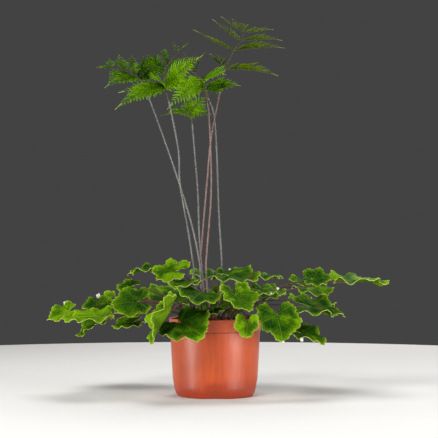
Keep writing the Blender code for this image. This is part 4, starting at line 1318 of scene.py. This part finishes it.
def lesser_pinna(place, ahead, normal, size, tone, draw):
    """Where the small pinnules of a divided pinnule go, on both sides of its midrib and at its tip."""
    count = round(size / LESSER_SPACING)
    across = normal.cross(ahead).normalized()
    places = []
    for number in range(count):
        share = (number + 0.5) / count
        for side in (-1, 1):
            lean = LESSER_SWEEP + draw.uniform(-1, 1) * LESSER_SWING
            out = across * side * math.sin(lean) + ahead * math.cos(lean)
            length = size * LESSER_SHARE * (1 - 0.75 * share) * draw.uniform(0.9, 1.1)
            root = place + ahead * size * (0.12 + 0.62 * share) - normal * 0.10 * size * share ** 2
            places.append((axes_matrix(root, out, normal, length), 0.1 * side,
                           tone + draw.uniform(-0.1, 0.1)))
    tip = place + ahead * size * 0.55 - normal * 0.04 * size
    places.append((axes_matrix(tip, ahead - normal * 0.12, normal, size * 0.5), 0, tone + 0.15))
    places.append((axes_matrix(place, ahead, normal, size * 0.62), 0, tone))
    return places


def pinnae_of(spec, rachis):
    """A frond's pinnae and its tail: (root, bend and tip, pinnule length, tilt, fold, tone)."""
    made = []
    for share, tip, arch, longest, tilt, fold, tone in spec["pinnae"]:
        root = point_at(rachis, share)
        tip = Vector(tip) * MM
        bend = (root + tip) / 2 + UP * arch * MM
        made.append(((root, bend, tip), longest * MM, tilt, math.radians(fold), tone))
    longest, fold = spec["tail"]
    last = spec["pinnae"][-1][0]
    start = last + (1 - last) * TAIL_START
    curve = (point_at(rachis, start), point_at(rachis, (1 + start) / 2), rachis[-1])
    made.append((curve, longest * MM, 0, math.radians(fold), spec["pinnae"][-1][-1]))
    return made


def build_fronds(fronds):
    """The green blades: rachis, ribs and lobed pinnules."""
    leaf_finishes = {
        "fresh_frond": tone_finish("fresh_frond_finish", fronds.fresh, fronds.fresh_tip, 0.5,
                                   fronds.pale),
        "olive_frond": tone_finish("olive_frond_finish", fronds.olive, fronds.olive_tip, 0.55,
                                   fronds.pale),
    }
    rib_finish = stalk_finish("rib_finish", shade_of(fronds.rib, 0.6), fronds.rib)
    widths = {"fresh_frond": fronds.fresh_width, "olive_frond": fronds.olive_width}
    shapes = {kind: pinnule_shape(widths[kind], lobes) for kind, lobes in PINNULE_LOBES.items()}
    spacings = {"fresh_frond": fronds.fresh_spacing, "olive_frond": fronds.olive_spacing}
    draw = random.Random(SEEDS["fronds"])
    for number, (node, spec) in enumerate(FRONDS.items(), 1):
        rachis = smooth_path(spec["rachis"])
        ribs = [(rachis, *RACHIS_RADII)]
        places = []
        for curve, longest, tilt, fold, tone in pinnae_of(spec, rachis):
            spacing = spacings[spec["leaf"]] * (0.75 + 0.25 * longest / USUAL_LENGTH)
            places += pinna_places(curve, longest, tilt, fold, spec["leaf"], spacing, tone, draw)
            line = [quadratic(*curve, step / 10 * 0.97)[0] for step in range(11)]
            ribs.append((line, fronds.rib_radius, fronds.rib_radius * RIB_TAPER))
        leafage = spread_copies(f"leafage_{number}", shapes[spec["leaf"]], places)
        smooth_shade(leafage, 50)
        finish_piece(leafage, [leaf_finishes[spec["leaf"]]], (f"{node}_blade",))
        rib_piece = tubes(f"ribs_{number}", ribs, 6)
        finish_piece(rib_piece, [rib_finish])


def lobed_radius(angle):
    """Outline of a lobed leaf as a share of its length: blunt lobes that shorten towards the base."""
    reach = 1 - LEAF_NARROWING * (abs(angle) / LEAF_HALF_ANGLE) ** 1.3
    lobe = 0.5 - 0.5 * math.cos(2 * math.pi * angle / LOBE_PITCH)
    return reach * (1 - LOBE_NOTCH * lobe ** 1.5)


class LeafForm:
    """How one leaf of the skirt stands and is shaped, from its row of LEAVES."""

    def __init__(self, ring, joint, heading, pitch, roll, length, fold, phase, tone):
        turn = (Matrix.Rotation(math.radians(heading), 4, "Z")
                @ Matrix.Rotation(-math.radians(pitch), 4, "Y")
                @ Matrix.Rotation(math.radians(roll), 4, "X"))
        self.place = Matrix.Translation(Vector(joint) * MM) @ turn
        self.ring = ring
        self.length = length * MM
        self.fold = fold
        self.phase = phase
        self.tone = tone


def blade_point(form, angle, share, leaf):
    """A point of a blade, found with +X to its tip, +Z up and its stem at 0, and then placed."""
    outline = lobed_radius(angle)
    reach = share * outline
    x = reach * math.cos(angle)
    y = reach * math.sin(angle)
    wave = BOW * reach ** 2 * math.sin(BOWS_ROUND * angle + form.phase)
    lobes = LOBE_LIFT * reach ** 2 * math.cos(2 * math.pi * angle / LOBE_PITCH)
    droop = -TIP_DROOP * max(x, 0) ** 2 - SIDE_DROOP * y ** 2
    tooth = abs(math.cos(math.pi * TEETH_PER_LOBE * angle / LOBE_PITCH)) - 0.6
    spread = 1 + leaf.tooth_depth * tooth * share ** 5 / outline
    ruffle = math.sin(RUFFLES_ROUND * angle + RUFFLE_SHIFT * form.phase)
    ruffle *= leaf.ruffle * share ** 4
    off_vein = abs((angle / LOBE_PITCH + 0.5) % 1 - 0.5) * LOBE_PITCH * reach * form.length
    groove = -leaf.groove * math.exp(-(off_vein / MAIN_VEIN_WIDTH) ** 2) * (1 - share ** 3)
    chevron = reach * form.length - SIDE_VEIN_SLOPE * off_vein
    quilt = leaf.quilt * math.cos(2 * math.pi * chevron / SIDE_VEIN_SPACING)
    quilt *= min(1, off_vein / QUILT_START) * (1 - share ** 6)
    rise = wave + lobes + droop + ruffle + (groove + quilt) / form.length
    crease = math.atan(form.fold)
    across = abs(y) * spread * math.cos(crease) - rise * math.sin(crease)
    height = abs(y) * spread * math.sin(crease) + rise * math.cos(crease)
    own = Vector((x * spread, math.copysign(across, y), height)) * form.length
    return form.place @ own


def petiole_path(form, leaf):
    """The stem from its hole, up and out to the blade, then under it as the midrib's start."""
    joint = form.place.translation
    away = Vector((joint.x - CROWN_CENTRE.x, joint.y - CROWN_CENTRE.y, 0)).normalized()
    foot = CROWN_CENTRE + away * RINGS[form.ring] * MM + UP * (SOIL_EDGE_HEIGHT + STEM_FOOT_RISE)
    ahead = (form.place.to_3x3() @ Vector((1, 0, 0))).normalized()
    below = form.place.to_3x3() @ -UP
    under = below * (leaf.stem_radius + PETIOLE_GAP)
    distance = (joint - foot).length
    rise = UP * min(distance * 0.45, PETIOLE_RISE)
    path = [Vector((foot.x, foot.y, HOLE_BOTTOM))]
    path += bezier(foot, foot + rise, joint + under - ahead * distance * 0.35, joint + under,
                   PETIOLE_STEPS)
    path.append(blade_point(form, 0, MIDRIB_SHARE, leaf) + below * PETIOLE_SINK)
    return path


def model_blade(name, form, leaf):
    """A lobed, toothed and veined blade: a grid bent round the stem's end and thickened."""
    teeth = TEETH_PER_LOBE * round(2 * LEAF_HALF_ANGLE / LOBE_PITCH)
    blade = added(bpy.ops.mesh.primitive_grid_add, name, x_subdivisions=teeth * COLUMNS_PER_TOOTH,
                  y_subdivisions=LEAF_RINGS, size=2, location=(0, 0, 0))
    places = []
    tones = []
    for vertex in blade.data.vertices:
        angle = vertex.co.x * LEAF_HALF_ANGLE
        share = (vertex.co.y + 1) / 2
        reach = lobed_radius(angle) * form.length / MM
        places += [angle / LOBE_PITCH, share * reach, (1 - share) * reach]
        # Painted light and shade that changes from lobe to lobe, strongest towards the margin.
        painted_lobe_shading = PAINTED_LOBE_SHADING * math.sin(PAINTED_LOBE_SHADING_PACE * angle / LOBE_PITCH + 3 * form.phase)
        tones.append(form.tone + share * painted_lobe_shading)
    layer = blade.data.attributes.new("blade_place", "FLOAT_VECTOR", "POINT")
    layer.data.foreach_set("vector", places)
    layer = blade.data.attributes.new("tone", "FLOAT", "POINT")
    layer.data.foreach_set("value", tones)
    move_vertices(blade, lambda co: blade_point(
        form, co.x * LEAF_HALF_ANGLE, (co.y + 1) / 2, leaf))
    close_mesh(blade, 0.02 * MM)
    facing = sum((face.normal * face.area for face in blade.data.polygons), Vector())
    if facing.dot(form.place.to_3x3() @ UP) < 0:
        blade.data.flip_normals()
    shell = blade.modifiers.new("thickness", "SOLIDIFY")
    shell.thickness = leaf.thickness
    shell.offset = 0
    shell.material_offset = 1
    shell.material_offset_rim = 2
    return blade


def build_leaves(leaf):
    """The skirt: each leaf's blade and its stem."""
    finishes = [blade_finish("leaf_upper_finish", leaf, True),
                blade_finish("leaf_underside_finish", leaf, False),
                plain_finish("leaf_rim_finish", leaf.rim, 0.5)]
    stem_skin = stalk_finish("petiole_finish", leaf.stem, shade_of(leaf.stem, 1.8))
    for number, spec in enumerate(LEAVES, 1):
        form = LeafForm(*spec)
        node = f"leaf_{number:02d}"
        blade = model_blade(f"blade_{number:02d}", form, leaf)
        for finish in finishes:
            blade.data.materials.append(finish)
        apply_modifiers(blade)
        smooth_shade(blade, 60)
        indices = [face.material_index for face in blade.data.polygons]
        finish_piece(blade, finishes, (node,))
        blade.data.polygons.foreach_set("material_index", indices)
        line = (petiole_path(form, leaf), leaf.stem_radius, leaf.stem_radius * PETIOLE_TAPER)
        stem = tubes(f"petiole_{number:02d}", [line], 8)
        finish_piece(stem, [stem_skin], (node,))


def build_buds(buds):
    """Small woolly buds seated on the margins of some leaves."""

    def bract(u, v):
        """Where a point of a bract goes: it is round-ended and cupped."""
        half = 0.30 * math.sin(math.pi * min(1, 0.12 + 0.88 * u)) ** 0.7
        return u, v * half, 0.16 * math.sin(math.pi * u) - 0.25 * v * v * half

    shape = take_shape(grid_template("bract", 8, 4, bract, 0.07))
    leaf = bpy.context.scene.fern_leaves
    places = []
    draw = random.Random(SEEDS["buds"])
    for number, angle, size, rise in BUDS:
        form = LeafForm(*LEAVES[number - 1])
        edge, inner = (blade_point(form, math.radians(angle), share, leaf) for share in (0.98, 0.85))
        axis = (edge - inner).normalized() * 0.6 + UP * rise
        axis.normalize()
        side = axis.orthogonal().normalized()
        for turn in range(buds.bracts):
            out = Matrix.Rotation(turn * BRACT_TURN, 3, axis) @ side
            lean = axis + out * (0.10 + BRACT_SPREAD * turn)
            places.append((axes_matrix(edge - axis * BUD_SEAT, lean, out,
                                       size * MM * draw.uniform(0.8, 1.05)), 0, draw.random()))
    piece = spread_copies("leaf_buds", shape, places)
    smooth_shade(piece, 60)
    wool = tone_finish("bud_finish", shade_of(buds.colour, 0.6), buds.colour, 0.8)
    finish_piece(piece, [wool])


def add_light(name, place, aim, size, power):
    """A soft rectangular light that faces its aim."""
    light = added(bpy.ops.object.light_add, name, type="AREA", location=place)
    light.data.shape = "RECTANGLE"
    light.data.size, light.data.size_y = size
    light.data.energy = power
    light.rotation_mode = "QUATERNION"
    light.rotation_quaternion = (Vector(aim) - Vector(place)).to_track_quat("-Z", "Y")


def build_stage(stage):
    """The pale floor, the soft light and the camera."""
    floor = added(bpy.ops.mesh.primitive_circle_add, "studio_floor", vertices=96,
                  radius=stage.floor_radius, fill_type="NGON", location=(0, 0, 0))
    floor.data.materials.append(plain_finish("floor_finish", stage.floor_colour, 0.85))
    room = bpy.data.worlds.new("soft_room")
    room.use_nodes = True
    background = room.node_tree.nodes["Background"]
    background.inputs["Color"].default_value = (*stage.room_colour, 1)
    background.inputs["Strength"].default_value = stage.room_light
    bpy.context.scene.world = room
    for name, place, aim, size, power in STUDIO_LIGHTS:
        add_light(name, place, aim, size, power)
    camera = added(bpy.ops.object.camera_add, "photo_camera",
                   location=(stage.camera_side, -stage.camera_distance, stage.camera_height),
                   rotation=(math.radians(90) + stage.camera_tilt, 0, 0))
    camera.data.sensor_width = 36
    camera.data.lens = stage.lens
    scene = bpy.context.scene
    scene.camera = camera
    scene.view_settings.view_transform = "Standard"


class FERN_OT_pot(bpy.types.Operator):
    """Build the terracotta-coloured plastic pot"""

    bl_idname = "fern.pot"
    bl_label = "Pot"

    def execute(self, context):
        build_pot(context.scene.fern_pot)
        return {"FINISHED"}


class FERN_OT_soil(bpy.types.Operator):
    """Build the potting mix and its crumbs"""

    bl_idname = "fern.soil"
    bl_label = "Potting Mix"

    def execute(self, context):
        build_soil(context.scene.fern_soil)
        return {"FINISHED"}


class FERN_OT_crown(bpy.types.Operator):
    """Build the rhizome's crown and its scales"""

    bl_idname = "fern.crown"
    bl_label = "Crown"

    def execute(self, context):
        build_crown(context.scene.fern_crown)
        return {"FINISHED"}


class FERN_OT_stalks(bpy.types.Operator):
    """Build the tall stalks and their hairs"""

    bl_idname = "fern.stalks"
    bl_label = "Stalks"

    def execute(self, context):
        build_stalks(context.scene.fern_stalks)
        return {"FINISHED"}


class FERN_OT_fronds(bpy.types.Operator):
    """Build the divided green blades of the fronds"""

    bl_idname = "fern.fronds"
    bl_label = "Frond Blades"

    def execute(self, context):
        build_fronds(context.scene.fern_fronds)
        return {"FINISHED"}


class FERN_OT_leaves(bpy.types.Operator):
    """Build the skirt of lobed leaves"""

    bl_idname = "fern.leaves"
    bl_label = "Leaves"

    def execute(self, context):
        build_leaves(context.scene.fern_leaves)
        return {"FINISHED"}


class FERN_OT_buds(bpy.types.Operator):
    """Build the small woolly buds on the leaves"""

    bl_idname = "fern.buds"
    bl_label = "Buds"

    def execute(self, context):
        build_buds(context.scene.fern_buds)
        return {"FINISHED"}


class FERN_OT_stage(bpy.types.Operator):
    """Set up the floor, the lights and the camera"""

    bl_idname = "fern.stage"
    bl_label = "Stage"

    def execute(self, context):
        build_stage(context.scene.fern_stage)
        return {"FINISHED"}


OPERATORS = (FERN_OT_pot, FERN_OT_soil, FERN_OT_crown, FERN_OT_stalks, FERN_OT_fronds,
             FERN_OT_leaves, FERN_OT_buds, FERN_OT_stage)


class FERN_PT_builder(bpy.types.Panel):
    """Lists the fern's pieces with their settings"""

    bl_idname = "FERN_PT_builder"
    bl_label = "Potted Antenna Fern"
    bl_space_type = "VIEW_3D"
    bl_region_type = "UI"
    bl_category = "Fern"

    def draw(self, context):
        for operator, (name, group) in zip(OPERATORS, SETTINGS.items()):
            box = self.layout.box()
            box.operator(operator.bl_idname)
            for setting in group.__annotations__:
                box.prop(getattr(context.scene, name), setting)


def register():
    """Make the settings, operators and panel known to Blender."""
    for name, group in SETTINGS.items():
        bpy.utils.register_class(group)
        setattr(bpy.types.Scene, name, PointerProperty(type=group))
    for operator in OPERATORS:
        bpy.utils.register_class(operator)
    bpy.utils.register_class(FERN_PT_builder)


def unregister():
    """Take the panel, operators and settings away again."""
    bpy.utils.unregister_class(FERN_PT_builder)
    for operator in reversed(OPERATORS):
        bpy.utils.unregister_class(operator)
    for name, group in reversed(SETTINGS.items()):
        delattr(bpy.types.Scene, name)
        bpy.utils.unregister_class(group)


def main():
    """Build every piece and the stage."""
    register()
    bpy.ops.fern.pot()
    bpy.ops.fern.soil()
    bpy.ops.fern.crown()
    bpy.ops.fern.stalks()
    bpy.ops.fern.fronds()
    bpy.ops.fern.leaves()
    bpy.ops.fern.buds()
    bpy.ops.fern.stage()


if __name__ == "__main__":
    main()
